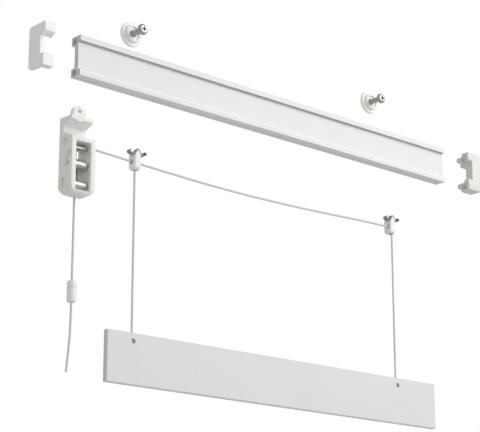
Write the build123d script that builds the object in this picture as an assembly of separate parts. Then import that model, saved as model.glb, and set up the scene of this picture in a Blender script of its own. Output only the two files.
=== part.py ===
from build123d import *
import math
import os

# Blind rail kit: a white extruded rail with its two end caps, wall discs and screws, a cord lock,
# two cord carriers, the cords and the bottom bar that they lift.
# Millimetres. X runs along the rail, -Y faces the room, +Y the wall, +Z is up.
# The origin is the middle of the rail's rear opening, on the wall side of the rail.

# Rail section and length
RAIL_LENGTH = 332.0
RAIL_HEIGHT = 26.0
RAIL_DEPTH = 9.0
TOP_LIP_HEIGHT = 3.6
BOTTOM_LIP_HEIGHT = 4.2
PANEL_RECESS = 2.2
WEB_THICKNESS = 3.6
CURL_SIZE = 5.6
PORT_DIAMETER = 4.4
PORT_REAR_WALL = 0.6
PORT_OUTER_WALL = 0.6
RAIL_EDGE_RADIUS = 0.3
BEAD_ABOVE_LIP = 2.6
BEAD_HEIGHT = 0.6
BEAD_STAND = 0.3
UNDER_GROOVE_WIDTH = 0.8
UNDER_GROOVE_DEPTH = 0.35

# End caps, shown pulled off the rail
CAP_HEIGHT = 27.4
CAP_FRONT_STAND = 2.6
CAP_SKIN = 2.6
CAP_UPPER_ARM = 5.9
CAP_ARM_SLANT = 0.48
CAP_LOWER_ARM = 7.7
CAP_LOWER_ARM_SETBACK = 1.2
CAP_CORNER_RADIUS = 2.2
CAP_EDGE_RADIUS = 0.6
CAP_CLEARANCE = 0.15
CAP_RELIEF_Y = -5.2
CAP_RELIEF_HEIGHT = 12.4
PEG_CLEARANCE = 0.1
PEG_TIP_CHAMFER = 0.5
LEFT_CAP_PLATE = 3.0
LEFT_CAP_ARM = 5.0
LEFT_CAP_PEG = 6.0
LEFT_CAP_PULLED = 25.2
LEFT_CAP_NOTCH = 4.8
LEFT_CAP_ARM_DEPTH = 6.0
LEFT_CAP_RISE = 0.0
LEFT_CAP_REAR_STAND = 4.8
RIGHT_CAP_PLATE = 9.3
RIGHT_CAP_ARM = 4.6
RIGHT_CAP_PEG = 5.4
RIGHT_CAP_PULLED = 28.5
RIGHT_CAP_NOTCH = 0.0
RIGHT_CAP_ARM_DEPTH = 6.0
RIGHT_CAP_RISE = 1.2
RIGHT_CAP_REAR_STAND = 0.0

# Wall discs and their screws, shown off the rail with the screws half way in
DISC_X = (-116.9, 101.2)
DISC_Z = (30.3, 37.1)
DISC_BACK_Y = 5.6
FLANGE_DIAMETER = 16.4
FLANGE_THICKNESS = 1.8
HUB_DIAMETER = 11.6
HUB_HEIGHT = 2.2
HUB_RECESS_DIAMETER = 8.6
HUB_RECESS_DEPTH = 1.0
FLANGE_EDGE_RADIUS = 0.4
HUB_EDGE_RADIUS = 0.5
DISC_HOLE_DIAMETER = 4.5
SCREW_DIAMETER = 4.0
SCREW_CORE_DIAMETER = 3.0
SCREW_LENGTH = 18.0
SCREW_PITCH = 1.8
SCREW_FIRST_CREST = 0.6
CREST_WIDTH = 1.2
SCREW_TIP_LENGTH = 3.2
SCREW_HEAD_DIAMETER = 7.2
SCREW_HEAD_HEIGHT = 2.3
SCREW_HEAD_ROUNDING = 1.4
SCREW_OUT = 8.8
CROSS_WIDTH = 1.1
CROSS_SPAN = 4.0
CROSS_DEPTH = 1.5

# Cord lock housing, hung below the left end of the rail
LOCK_LEFT_X = -173.5
LOCK_FRONT_Y = -13.9
LOCK_REAR_Y = -0.8
LOCK_TOP_Z = -40.7
LOCK_BOTTOM_Z = -89.2
HEAD_WIDTH = 16.0
BLOCK_WIDTH = 17.2
HEAD_NOSE_HEIGHT = 2.4
HEAD_NOSE_SETBACK = 1.4
HEAD_SLANT_DROP = 3.0
NECK_SETBACK = 9.2
NECK_HEIGHT = 3.9
SHELF_DROP = 3.9
BLOCK_CORNER_RADIUS = 5.8
BLOCK_REAR_RADIUS = 5.4
BLOCK_FRONT_RADIUS = 4.0
TAB_WIDTH = 9.6
TAB_THICKNESS = 2.8
TAB_RISE = 6.2
TAB_LEFT_SPACE = 1.0
TAB_HOLE_DIAMETER = 2.4
TAB_HOLE_RISE = 3.0
LEFT_RIM = 3.0
RIGHT_RIM = 3.2
WINDOW_TOP_SPACE = 2.5
WINDOW_BOTTOM_WALL = 2.8
WINDOW_CORNER_RADIUS = 0.8
BACK_WALL = 4.4
BACK_OPENING_DROP = 2.4
BACK_OPENING_HEIGHT = 5.6
CORD_CHANNEL_REAR_WALL = 2.1
CORD_CHANNEL_WIDTH = 2.6
CORD_POCKET_RISE = 3.0
CORD_POCKET_DROP = 4.1
CORD_POCKET_DEPTH = 4.5

# Rollers and pins of the lock
ROLLER_DIAMETER = 5.6
ROLLER_END_PLAY = 0.3
ROLLER_PIN_DIAMETER = 2.0
ROLLER_BORE_PLAY = 0.05
ROLLER_SETBACK = 5.2
LOCKING_ROLLER_DROP = 15.7
LOWER_ROLLER_DROP = 28.3
SLOT_PLAY = 0.15
SLOT_RUN_UP = 5.0
SLOT_RUN_FORWARD = 2.2
GUIDE_PIN_DIAMETER = 2.6
GUIDE_PIN_SETBACK = 5.0
GUIDE_PIN_DROP = 5.3
PIN_SEAT_PLAY = 0.05
PIN_SIDE_SKIN = 1.5
SIDE_DIMPLE_DEPTH = 1.4
SIDE_DIMPLE_WIDTH = 4.6
UPPER_DIMPLE_SETBACK = 7.2
UPPER_DIMPLE_DROP = 2.2
LOWER_DIMPLE_SETBACK = 8.3
LOWER_DIMPLE_RISE = 0.9
LOWER_DIMPLE_HEIGHT = 6.8
ROLLER_EDGE_BEVEL = 0.3

# Cords
CORD_DIAMETER = 1.4
CORD_HOLE_DIAMETER = 2.4
CORD_Y = -4.6
LEFT_CORD_X = -119.4
RIGHT_CORD_X = 111.4
LOCK_CORD_X = -163.8
LOCK_CORD_Y = -4.0
LOCK_TURN_Z = -55.3
LOCK_CORD_ENTRY_Z = -55.6
LOCK_TURN_RADIUS = 4.2
CARRIER_CORD_Z = -57.5
CARRIER_TURN_RADIUS = 2.2
LIFT_CORD_BELOW_TURN = 1.0
SLACK_BEND_SHARE = 0.45
LOCK_CORD_ENTRY_Y = -4.5
SPAN_SAG_POINTS = ((-92.0, -58.6), (-50.0, -59.95), (-6.0, -59.9), (38.0, -58.9), (78.0, -57.2))

# Cord carriers with their spring clips
CARRIER_WIDTH = 5.3
CARRIER_DEPTH = 6.7
CARRIER_HEIGHT = 9.8
GABLE_TOP_WIDTH = 0.5
GABLE_SINK = 0.5
CARRIER_FOOT_RADIUS = 2.6
CARRIER_FOOT_FILLET = 1.3
CARRIER_HOLE_DROP = 4.6
CARRIER_HOLE_DIAMETER = 3.0
RIGHT_CARRIER_SHIFT_X = -1.0
RIGHT_CARRIER_SHIFT_Y = 0.9
RIGHT_CARRIER_RISE = 1.0
CARRIER_MOUTH_WIDTH = 2.8
CARRIER_MOUTH_LENGTH = 3.7
SPRING_THICKNESS = 0.65
SPRING_WIDTH = 3.4
SPRING_SHIFT_FORWARD = 1.2
SPRING_PEAK_RISE = 3.8
SPRING_HALF_OUTLINE = ((1.8, 1.0), (3.8, -0.3), (5.7, 0.3), (6.5, 1.4), (5.4, 2.2))
SPRING_BEND_RADIUS = 0.5

# Cord connector and tail
CONNECTOR_TOP_Z = -139.1
CONNECTOR_DIAMETER = 5.7
CONNECTOR_UPPER_LENGTH = 4.3
CONNECTOR_LOWER_LENGTH = 8.6
CONNECTOR_ROUNDING = 2.0
CONNECTOR_SPIGOT_DIAMETER = 4.6
CONNECTOR_SPIGOT_LENGTH = 2.0
CONNECTOR_SPIGOT_PLAY = 0.05
SPIGOT_ROOT = 0.5
CONNECTOR_CAVITY_DIAMETER = 3.4
CONNECTOR_CAVITY_DEPTH = 3.0
CONNECTOR_BORE_DIAMETER = 1.8
SPIGOT_TIP_SPACE = 0.2
TAIL_POINTS = ((0.0, -14.1), (-0.9, -27.6), (-2.3, -41.1))
KNOT_DIAMETER = 2.8

# Bottom bar
BAR_LEFT_X = -138.9
BAR_RIGHT_X = 149.7
BAR_TOP_Z = -164.2
BAR_HEIGHT = 31.4
BAR_THICKNESS = 3.9
BAR_EDGE_BEVEL = 0.5
BAR_HOLE_DIAMETER = 3.2
BAR_HOLE_DROP = 5.0
BAR_BORE_DIAMETER = 1.9
KNOT_SEAT_GAP = 0.05

os.makedirs("parts", exist_ok=True)

HALF_LENGTH = RAIL_LENGTH / 2
HALF_HEIGHT = RAIL_HEIGHT / 2
PANEL_Y = -RAIL_DEPTH + PANEL_RECESS
WEB_BACK_Y = PANEL_Y + WEB_THICKNESS
CURL_Z = HALF_HEIGHT - CURL_SIZE
PORT_Y = -PORT_REAR_WALL - PORT_DIAMETER / 2
PORT_Z = HALF_HEIGHT - PORT_OUTER_WALL - PORT_DIAMETER / 2


def block(x0, x1, y0, y1, z0, z1):
    """A box between two corners."""
    return Pos((x0 + x1) / 2, (y0 + y1) / 2, (z0 + z1) / 2) * Box(x1 - x0, y1 - y0, z1 - z0)


def rod_x(diameter, x0, x1, y, z):
    """A round bar along X."""
    return Pos((x0 + x1) / 2, y, z) * Rot(0, 90, 0) * Cylinder(diameter / 2, x1 - x0)


def rod_y(diameter, x, y0, y1, z):
    """A round bar along Y."""
    return Pos(x, (y0 + y1) / 2, z) * Rot(90, 0, 0) * Cylinder(diameter / 2, y1 - y0)


def rod_z(diameter, x, y, z0, z1):
    """A round bar along Z."""
    return Pos(x, y, (z0 + z1) / 2) * Cylinder(diameter / 2, z1 - z0)


def prism_x(points, x0, x1):
    """A prism along X whose outline is given as (y, z) points."""
    face = make_face(Polyline(*points, close=True))
    return Pos(x0, 0, 0) * extrude(Plane.YZ * face, x1 - x0)


def save(node, solid):
    """Name a node's solid and write it to its own file."""
    solid.label = node
    export_step(solid, f"parts/{node}.step")


# Rail


def rail_outline(grow=0.0):
    """The rail's section as a face on (y, z), grown outwards by a clearance."""
    front = -RAIL_DEPTH - grow
    panel = PANEL_Y - grow
    web = WEB_BACK_Y + grow
    top = HALF_HEIGHT + grow
    curl = CURL_Z - grow
    points = (
        (grow, -top),
        (grow, -curl),
        (web, -curl),
        (web, curl),
        (grow, curl),
        (grow, top),
        (front, top),
        (front, HALF_HEIGHT - TOP_LIP_HEIGHT - grow),
        (panel, HALF_HEIGHT - TOP_LIP_HEIGHT - grow),
        (panel, -HALF_HEIGHT + BOTTOM_LIP_HEIGHT + grow),
        (front, -HALF_HEIGHT + BOTTOM_LIP_HEIGHT + grow),
        (front, -top),
    )
    return make_face(Polyline(*points, close=True))


def bead_outline(grow=0.0):
    """The small bead along the front panel, grown outwards by a clearance."""
    z = -HALF_HEIGHT + BOTTOM_LIP_HEIGHT + BEAD_ABOVE_LIP
    return Pos(PANEL_Y, z) * Rectangle(2 * (BEAD_STAND + grow), BEAD_HEIGHT + 2 * grow)


def make_rail():
    """The extruded rail: lips round a recessed front panel, a rear channel and a round port at each lip."""
    outline = rail_outline()
    outline = fillet(outline.vertices(), RAIL_EDGE_RADIUS)
    groove = Pos(WEB_BACK_Y, -HALF_HEIGHT) * Rectangle(UNDER_GROOVE_WIDTH, 2 * UNDER_GROOVE_DEPTH)
    section = outline + bead_outline() - groove
    for side in (-1, 1):
        section -= Pos(PORT_Y, side * PORT_Z) * Circle(PORT_DIAMETER / 2)
    return extrude(Plane.YZ * section, HALF_LENGTH, both=True)


# End caps


def notch_roof(depth, rise):
    """Height of a cap's notch at its back, where the upper arm's slanted underside ends."""
    return CAP_HEIGHT / 2 + rise - CAP_UPPER_ARM - CAP_ARM_SLANT * depth


def cap_outline(rear, depth, rise):
    """A cap's end view on (y, z), back to a rear line, with a notch between its upper and lower arms. rise
    is how much thicker it is on top."""
    front = -RAIL_DEPTH - CAP_FRONT_STAND
    low_front = front + CAP_LOWER_ARM_SETBACK
    notch = front + depth
    half = CAP_HEIGHT / 2
    top = half + rise
    notch_floor = -half + CAP_LOWER_ARM
    points = [(rear, -half), (rear, top), (front, top)]
    if depth:
        points += [(front, top - CAP_UPPER_ARM), (notch, notch_roof(depth, rise))]
        points += [(notch, notch_floor), (low_front, notch_floor), (low_front, -half)]
    else:
        points += [(front, -half)]
    face = make_face(Polyline(*points, close=True))
    corners = [v for v in face.vertices() if abs(v.X - rear) < 0.01]
    return fillet(corners, CAP_CORNER_RADIUS)


def make_cap(side, plate, arm, arm_depth, peg, pulled, notch, rear_stand, rise):
    """An end cap: an outer skin that may stand behind the rail, a core as deep as the rail and hollow behind
    its middle, arms over the rail's lips and pegs that enter its round ports."""
    seat_x = HALF_LENGTH + pulled
    skin_x = seat_x + plate - CAP_SKIN
    arm_end = seat_x - arm
    front = -RAIL_DEPTH - CAP_FRONT_STAND
    half = CAP_HEIGHT / 2
    skin = Pos(skin_x, 0, 0) * extrude(Plane.YZ * cap_outline(rear_stand, notch, rise), CAP_SKIN)
    skin = fillet(skin.faces().sort_by(Axis.X)[-1].edges(), CAP_EDGE_RADIUS)
    core = Pos(arm_end, 0, 0) * extrude(Plane.YZ * cap_outline(0.0, notch, rise), skin_x - arm_end)
    behind_arms = block(arm_end - 1, seat_x, front + arm_depth, 1, -half - 1, half + rise + 1)
    between_arms = block(arm_end - 1, seat_x, front - 1, 1, -half + CAP_LOWER_ARM, notch_roof(notch, rise))
    half_relief = CAP_RELIEF_HEIGHT / 2
    relief = block(seat_x - 1, skin_x, CAP_RELIEF_Y, 1, -half_relief, half_relief)
    pocket_section = rail_outline(CAP_CLEARANCE) + bead_outline(CAP_CLEARANCE)
    pocket = Pos(arm_end - 1, 0, 0) * extrude(Plane.YZ * pocket_section, arm + 1)
    cap = skin + (core - behind_arms - between_arms - relief - pocket)
    for z in (-PORT_Z, PORT_Z):
        pin = rod_x(PORT_DIAMETER - 2 * PEG_CLEARANCE, seat_x - peg, seat_x + plate / 2, PORT_Y, z)
        tip = pin.faces().sort_by(Axis.X)[0]
        cap += chamfer(tip.edges(), PEG_TIP_CHAMFER)
    return cap if side > 0 else mirror(cap, about=Plane.YZ)


# Wall discs and screws


def make_disc(x, z):
    """A stepped round wall disc with a recess for the screw head, flange to the wall."""
    flange_front = DISC_BACK_Y - FLANGE_THICKNESS
    hub_front = flange_front - HUB_HEIGHT
    flange = rod_y(FLANGE_DIAMETER, x, flange_front, DISC_BACK_Y, z)
    flange = fillet(flange.edges(), FLANGE_EDGE_RADIUS)
    hub = rod_y(HUB_DIAMETER, x, hub_front, flange_front + 0.1, z)
    hub = fillet(hub.faces().sort_by(Axis.Y)[0].edges(), HUB_EDGE_RADIUS)
    recess = rod_y(HUB_RECESS_DIAMETER, x, hub_front - 1, hub_front + HUB_RECESS_DEPTH, z)
    hole = rod_y(DISC_HOLE_DIAMETER, x, hub_front - 1, DISC_BACK_Y + 1, z)
    return flange + hub - recess - hole


def screw_seat_y():
    """Where the screw head's underside rests once it is driven home."""
    return DISC_BACK_Y - FLANGE_THICKNESS - HUB_HEIGHT + HUB_RECESS_DEPTH


def make_screw(x, z):
    """A pan-head cross-slot screw with ring-shaped thread crests, head towards the room."""
    under_head = screw_seat_y() - SCREW_OUT
    core = SCREW_CORE_DIAMETER / 2
    crest = SCREW_DIAMETER / 2
    head = rod_y(SCREW_HEAD_DIAMETER, 0, -SCREW_HEAD_HEIGHT, 0, 0)
    head = fillet(head.faces().sort_by(Axis.Y)[0].edges(), SCREW_HEAD_ROUNDING)
    tip = SCREW_LENGTH - SCREW_TIP_LENGTH
    outline = [(0, -SCREW_HEAD_HEIGHT / 2), (core, -SCREW_HEAD_HEIGHT / 2)]
    turns = int((tip - SCREW_FIRST_CREST) / SCREW_PITCH)
    for turn in range(turns):
        start = SCREW_FIRST_CREST + turn * SCREW_PITCH
        outline += [(core, start), (crest, start + CREST_WIDTH / 2), (core, start + CREST_WIDTH)]
    outline += [(core, tip), (0, SCREW_LENGTH)]
    body = head + revolve(make_face(Polyline(*outline, close=True)), Axis.Y)
    for length, width in ((CROSS_SPAN, CROSS_WIDTH), (CROSS_WIDTH, CROSS_SPAN)):
        body -= Pos(0, -SCREW_HEAD_HEIGHT, 0) * Box(length, 2 * CROSS_DEPTH, width)
    return Pos(x, under_head, z) * body


# Cord lock


LOCK_BLOCK_RIGHT_X = LOCK_LEFT_X + BLOCK_WIDTH
NECK_Y = LOCK_FRONT_Y + NECK_SETBACK
NOSE_Y = LOCK_FRONT_Y + HEAD_NOSE_SETBACK
NOSE_Z = LOCK_TOP_Z - HEAD_NOSE_HEIGHT
NECK_TOP_Z = NOSE_Z - HEAD_SLANT_DROP
SHELF_REAR_Z = NECK_TOP_Z - NECK_HEIGHT
SHELF_FRONT_Z = SHELF_REAR_Z - SHELF_DROP
WINDOW_LEFT_X = LOCK_LEFT_X + LEFT_RIM
WINDOW_RIGHT_X = LOCK_BLOCK_RIGHT_X - RIGHT_RIM
WINDOW_TOP_Z = SHELF_FRONT_Z - WINDOW_TOP_SPACE
WINDOW_BOTTOM_Z = LOCK_BOTTOM_Z + WINDOW_BOTTOM_WALL
BACK_WALL_Y = LOCK_REAR_Y - BACK_WALL
ROLLER_Y = LOCK_FRONT_Y + ROLLER_SETBACK
LOCKING_ROLLER_Z = SHELF_FRONT_Z - LOCKING_ROLLER_DROP
LOWER_ROLLER_Z = SHELF_FRONT_Z - LOWER_ROLLER_DROP
GUIDE_PIN_Y = LOCK_FRONT_Y + GUIDE_PIN_SETBACK
GUIDE_PIN_Z = SHELF_FRONT_Z - GUIDE_PIN_DROP


def lock_block():
    """The roller block: a side view with rounded lower edges, cut to a front view with round corners."""
    side_points = (
        (LOCK_REAR_Y, SHELF_REAR_Z),
        (NECK_Y, SHELF_REAR_Z),
        (LOCK_FRONT_Y, SHELF_FRONT_Z),
        (LOCK_FRONT_Y, LOCK_BOTTOM_Z),
        (LOCK_REAR_Y, LOCK_BOTTOM_Z),
    )
    side = make_face(Polyline(*side_points, close=True))
    low = side.vertices().group_by(Axis.Y)[0].sort_by(Axis.X)
    side = fillet(low[0], BLOCK_FRONT_RADIUS)
    low = side.vertices().group_by(Axis.Y)[0].sort_by(Axis.X)
    side = fillet(low[-1], BLOCK_REAR_RADIUS)
    body = Pos(LOCK_LEFT_X, 0, 0) * extrude(Plane.YZ * side, BLOCK_WIDTH)
    front = block(
        LOCK_LEFT_X, LOCK_BLOCK_RIGHT_X, LOCK_FRONT_Y - 1, LOCK_REAR_Y + 1, LOCK_BOTTOM_Z, SHELF_REAR_Z + 1
    )
    low = front.edges().filter_by(Axis.Y).group_by(Axis.Z)[0]
    return body & fillet(low, BLOCK_CORNER_RADIUS)


def lock_shell():
    """The housing before its window: hooked head, neck and roller block."""
    head_right = LOCK_LEFT_X + HEAD_WIDTH
    head = prism_x(
        (
            (LOCK_REAR_Y, LOCK_TOP_Z),
            (NOSE_Y, LOCK_TOP_Z),
            (NOSE_Y, NOSE_Z),
            (NECK_Y, NECK_TOP_Z),
            (NECK_Y, SHELF_REAR_Z - 1),
            (LOCK_REAR_Y, SHELF_REAR_Z - 1),
        ),
        LOCK_LEFT_X,
        head_right,
    )
    return head + lock_block()


def lock_tab():
    """The upright screw tab with a round top."""
    left = LOCK_LEFT_X + TAB_LEFT_SPACE
    radius = TAB_WIDTH / 2
    centre_z = LOCK_TOP_Z + TAB_RISE - radius
    plate = block(left, left + TAB_WIDTH, NOSE_Y, NOSE_Y + TAB_THICKNESS, NOSE_Z, centre_z)
    plate += rod_y(TAB_WIDTH, left + radius, NOSE_Y, NOSE_Y + TAB_THICKNESS, centre_z)
    hole_z = LOCK_TOP_Z + TAB_HOLE_RISE
    return plate - rod_y(TAB_HOLE_DIAMETER, left + radius, NOSE_Y - 1, NOSE_Y + TAB_THICKNESS + 1, hole_z)


def slot_cutter(x0, x1, width):
    """The slanted slot that the locking roller's pin rides in, up and towards the room."""
    low = rod_x(width, x0, x1, ROLLER_Y, LOCKING_ROLLER_Z)
    high = rod_x(width, x0, x1, ROLLER_Y - SLOT_RUN_FORWARD, LOCKING_ROLLER_Z + SLOT_RUN_UP)
    run = math.hypot(SLOT_RUN_FORWARD, SLOT_RUN_UP)
    lean = math.degrees(math.atan2(SLOT_RUN_FORWARD, SLOT_RUN_UP))
    middle = Pos((x0 + x1) / 2, ROLLER_Y - SLOT_RUN_FORWARD / 2, LOCKING_ROLLER_Z + SLOT_RUN_UP / 2)
    return low + high + middle * Rot(lean, 0, 0) * Box(x1 - x0, width, run)


def make_lock_housing():
    housing = lock_shell() + lock_tab()
    window = block(
        WINDOW_LEFT_X, WINDOW_RIGHT_X, LOCK_FRONT_Y - 1, BACK_WALL_Y, WINDOW_BOTTOM_Z, WINDOW_TOP_Z
    )
    window = fillet(window.edges().filter_by(Axis.Y), WINDOW_CORNER_RADIUS)
    channel_y = LOCK_REAR_Y - CORD_CHANNEL_REAR_WALL
    pocket_low = WINDOW_TOP_Z - CORD_POCKET_DROP
    pocket_top = WINDOW_TOP_Z + CORD_POCKET_RISE
    pocket = block(
        WINDOW_LEFT_X, WINDOW_RIGHT_X, channel_y - CORD_POCKET_DEPTH, channel_y, pocket_low, pocket_top
    )
    half_channel = CORD_CHANNEL_WIDTH / 2
    channel = block(
        LOCK_CORD_X - half_channel,
        LOCK_CORD_X + half_channel,
        BACK_WALL_Y - 1,
        channel_y,
        WINDOW_BOTTOM_Z,
        pocket_low + 1,
    )
    opening_top = WINDOW_TOP_Z - BACK_OPENING_DROP
    rear_opening = block(
        WINDOW_LEFT_X,
        WINDOW_RIGHT_X,
        BACK_WALL_Y - 1,
        LOCK_REAR_Y + 1,
        opening_top - BACK_OPENING_HEIGHT,
        opening_top,
    )
    side_hole = rod_x(
        CORD_HOLE_DIAMETER, WINDOW_RIGHT_X - 1, LOCK_BLOCK_RIGHT_X + 1, LOCK_CORD_ENTRY_Y, LOCK_CORD_ENTRY_Z
    )
    bottom_hole = rod_z(
        CORD_HOLE_DIAMETER, LOCK_CORD_X, LOCK_CORD_Y, LOCK_BOTTOM_Z - 1, WINDOW_BOTTOM_Z + 1
    )
    housing = housing - window - pocket - channel - rear_opening - side_hole - bottom_hole
    inner_left = LOCK_LEFT_X + PIN_SIDE_SKIN
    inner_right = LOCK_BLOCK_RIGHT_X - PIN_SIDE_SKIN
    guide_seat = GUIDE_PIN_DIAMETER + 2 * PIN_SEAT_PLAY
    lower_seat = ROLLER_PIN_DIAMETER + 2 * PIN_SEAT_PLAY
    housing -= rod_x(guide_seat, inner_left, inner_right, GUIDE_PIN_Y, GUIDE_PIN_Z)
    housing -= rod_x(lower_seat, inner_left, inner_right, ROLLER_Y, LOWER_ROLLER_Z)
    slot_width = ROLLER_PIN_DIAMETER + 2 * SLOT_PLAY
    housing -= slot_cutter(LOCK_LEFT_X - 1, LOCK_BLOCK_RIGHT_X + 1, slot_width)
    housing -= slot_cutter(LOCK_LEFT_X - 1, dimple_x(), SIDE_DIMPLE_WIDTH)
    upper_y = LOCK_FRONT_Y + UPPER_DIMPLE_SETBACK
    upper_z = SHELF_FRONT_Z - UPPER_DIMPLE_DROP
    housing -= rod_x(SIDE_DIMPLE_WIDTH, LOCK_LEFT_X - 1, dimple_x(), upper_y, upper_z)
    return housing - lower_dimple()


def dimple_x():
    """How far in from the left side the shallow dimples by the pins reach."""
    return LOCK_LEFT_X + SIDE_DIMPLE_DEPTH


def lower_dimple():
    """The oval dimple beside the lower roller."""
    half = SIDE_DIMPLE_WIDTH / 2
    y = LOCK_FRONT_Y + LOWER_DIMPLE_SETBACK
    middle = LOWER_ROLLER_Z + LOWER_DIMPLE_RISE
    low = middle - LOWER_DIMPLE_HEIGHT / 2 + half
    high = middle + LOWER_DIMPLE_HEIGHT / 2 - half
    dimple = block(LOCK_LEFT_X - 1, dimple_x(), y - half, y + half, low, high)
    for z in (low, high):
        dimple += rod_x(SIDE_DIMPLE_WIDTH, LOCK_LEFT_X - 1, dimple_x(), y, z)
    return dimple


def make_roller(z):
    """A roller sleeve with a running bore, between the housing's side walls."""
    left = WINDOW_LEFT_X + ROLLER_END_PLAY
    right = WINDOW_RIGHT_X - ROLLER_END_PLAY
    sleeve = rod_x(ROLLER_DIAMETER, left, right, ROLLER_Y, z)
    sleeve = chamfer(sleeve.edges(), ROLLER_EDGE_BEVEL)
    return sleeve - rod_x(ROLLER_PIN_DIAMETER + 2 * ROLLER_BORE_PLAY, left - 1, right + 1, ROLLER_Y, z)


def make_pin(diameter, y, z, end_space):
    """A plain steel pin across the housing."""
    left = LOCK_LEFT_X + end_space
    right = LOCK_BLOCK_RIGHT_X - end_space
    return rod_x(diameter, left, right, y, z)


# Carriers


def carrier_centre(cord_x):
    """Centre of a carrier body: the right one sits a little off its cord, as its wide mouth lets it."""
    if cord_x > 0:
        return cord_x + RIGHT_CARRIER_SHIFT_X, CORD_Y + RIGHT_CARRIER_SHIFT_Y
    return cord_x, CORD_Y


def cord_height(cord_x):
    """Height of the running cord in a carrier: a little more at the right one."""
    if cord_x > 0:
        return CARRIER_CORD_Z + RIGHT_CARRIER_RISE
    return CARRIER_CORD_Z


def make_gable():
    """The carrier's roof ridge, its sides flat against the inside of the spring."""
    foot_x, foot_z = SPRING_HALF_OUTLINE[0]
    slope = (SPRING_PEAK_RISE - foot_z) / foot_x
    inner_top = SPRING_PEAK_RISE - SPRING_THICKNESS / 2 * math.hypot(1, slope)
    base = inner_top / slope
    ridge = GABLE_TOP_WIDTH / 2
    ridge_z = inner_top - ridge * slope
    low = base + GABLE_SINK / slope
    points = ((-low, -GABLE_SINK), (low, -GABLE_SINK), (ridge, ridge_z), (-ridge, ridge_z))
    face = make_face(Polyline(*points, close=True))
    return extrude(Plane.XZ * face, CARRIER_DEPTH / 2, both=True)


def make_carrier(cord_x):
    """A small moulded cord guide with a gabled top and a rounded foot."""
    x, y = carrier_centre(cord_x)
    hole_z = cord_height(cord_x)
    shoulder = hole_z + CARRIER_HOLE_DROP
    foot = shoulder - CARRIER_HEIGHT
    half_width = CARRIER_WIDTH / 2
    half_depth = CARRIER_DEPTH / 2
    body = block(x - half_width, x + half_width, y - half_depth, y + half_depth, foot, shoulder)
    low = body.edges().filter_by(Axis.X).group_by(Axis.Z)[0]
    body = fillet(low, CARRIER_FOOT_RADIUS)
    low = body.edges().filter_by(Axis.Y).group_by(Axis.Z)[0]
    body = fillet(low, CARRIER_FOOT_FILLET)
    body += Pos(x, y, shoulder) * make_gable()
    body -= rod_x(CARRIER_HOLE_DIAMETER, x - half_width - 1, x + half_width + 1, CORD_Y, hole_z)
    mouth = block(
        x - CARRIER_MOUTH_LENGTH / 2,
        x + CARRIER_MOUTH_LENGTH / 2,
        CORD_Y - CARRIER_MOUTH_WIDTH / 2,
        CORD_Y + CARRIER_MOUTH_WIDTH / 2,
        foot - 1,
        hole_z,
    )
    return body - mouth


def make_spring(cord_x):
    """A bent strip spring with two curled wings, set over the carrier's gable."""
    x, y = carrier_centre(cord_x)
    shoulder = cord_height(cord_x) + CARRIER_HOLE_DROP
    peak = (0, SPRING_PEAK_RISE)
    right = list(SPRING_HALF_OUTLINE)
    left = [(-px, pz) for px, pz in reversed(right)]
    line = FilletPolyline(*left, peak, *right, radius=SPRING_BEND_RADIUS)
    strip = trace(line, SPRING_THICKNESS)
    return Pos(x, y - SPRING_SHIFT_FORWARD, shoulder) * extrude(Plane.XZ * strip, SPRING_WIDTH / 2, both=True)


# Cords


def cord_tube(name, points, tight=None):
    """A cord along straight runs and tangent arcs. tight gives the radius of a point that the cord bends
    round under tension, by the point's index."""
    tight = tight or {}
    vectors = [Vector(*p) for p in points]
    radii = []
    for i in range(1, len(vectors) - 1):
        before, after = vectors[i] - vectors[i - 1], vectors[i + 1] - vectors[i]
        turn = math.radians(before.get_angle(after))
        free = SLACK_BEND_SHARE * min(before.length, after.length) / math.tan(turn / 2)
        radii.append(tight.get(i, free))
    path = FilletPolyline(*vectors, radius=radii)
    section = Plane(origin=path @ 0, z_dir=path % 0) * Circle(CORD_DIAMETER / 2)
    tube = sweep(section, path=path)
    expected = math.pi * (CORD_DIAMETER / 2) ** 2 * path.length
    print(name, "length", round(path.length, 1), "radii", [round(r, 1) for r in radii])
    print("  volume over section times length:", round(tube.volume / expected, 4))
    return tube


def straight_cord(name, x, y, z0, z1):
    """A cord pulled straight by its load."""
    print(name, "length", round(z1 - z0, 1), "straight")
    return rod_z(CORD_DIAMETER, x, y, z0, z1)


def make_lock_cord():
    """From under the lock, up behind its rollers, out of its side and into the left carrier."""
    points = (
        (LOCK_CORD_X, LOCK_CORD_Y, LOCK_BOTTOM_Z),
        (LOCK_CORD_X, LOCK_CORD_Y, LOCK_TURN_Z),
        (LOCK_BLOCK_RIGHT_X, LOCK_CORD_ENTRY_Y, LOCK_CORD_ENTRY_Z),
        (LEFT_CORD_X, CORD_Y, CARRIER_CORD_Z),
    )
    return cord_tube("lock_cord", points, tight={1: LOCK_TURN_RADIUS})


def make_span_cord():
    """From the left carrier, sagging a little, to the right carrier, where it turns down."""
    points = [(LEFT_CORD_X, CORD_Y, CARRIER_CORD_Z)]
    points += [(x, CORD_Y, z) for x, z in SPAN_SAG_POINTS]
    turn_z = cord_height(RIGHT_CORD_X)
    points += [(RIGHT_CORD_X, CORD_Y, turn_z), (RIGHT_CORD_X, CORD_Y, lift_cord_top(RIGHT_CORD_X))]
    return cord_tube("span_cord", points, tight={len(points) - 2: CARRIER_TURN_RADIUS})


def lift_cord_top(cord_x):
    """Where a lift cord hangs from: off the running cord on the left, off its end on the right."""
    if cord_x < 0:
        return cord_height(cord_x)
    return cord_height(cord_x) - CARRIER_TURN_RADIUS - LIFT_CORD_BELOW_TURN


def knot_z():
    """Centre of a lift cord's end knot, pulled up against the roof of its hole in the bar."""
    return BAR_TOP_Z - BAR_HOLE_DROP + BAR_HOLE_DIAMETER / 2 - KNOT_SEAT_GAP - KNOT_DIAMETER / 2


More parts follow.
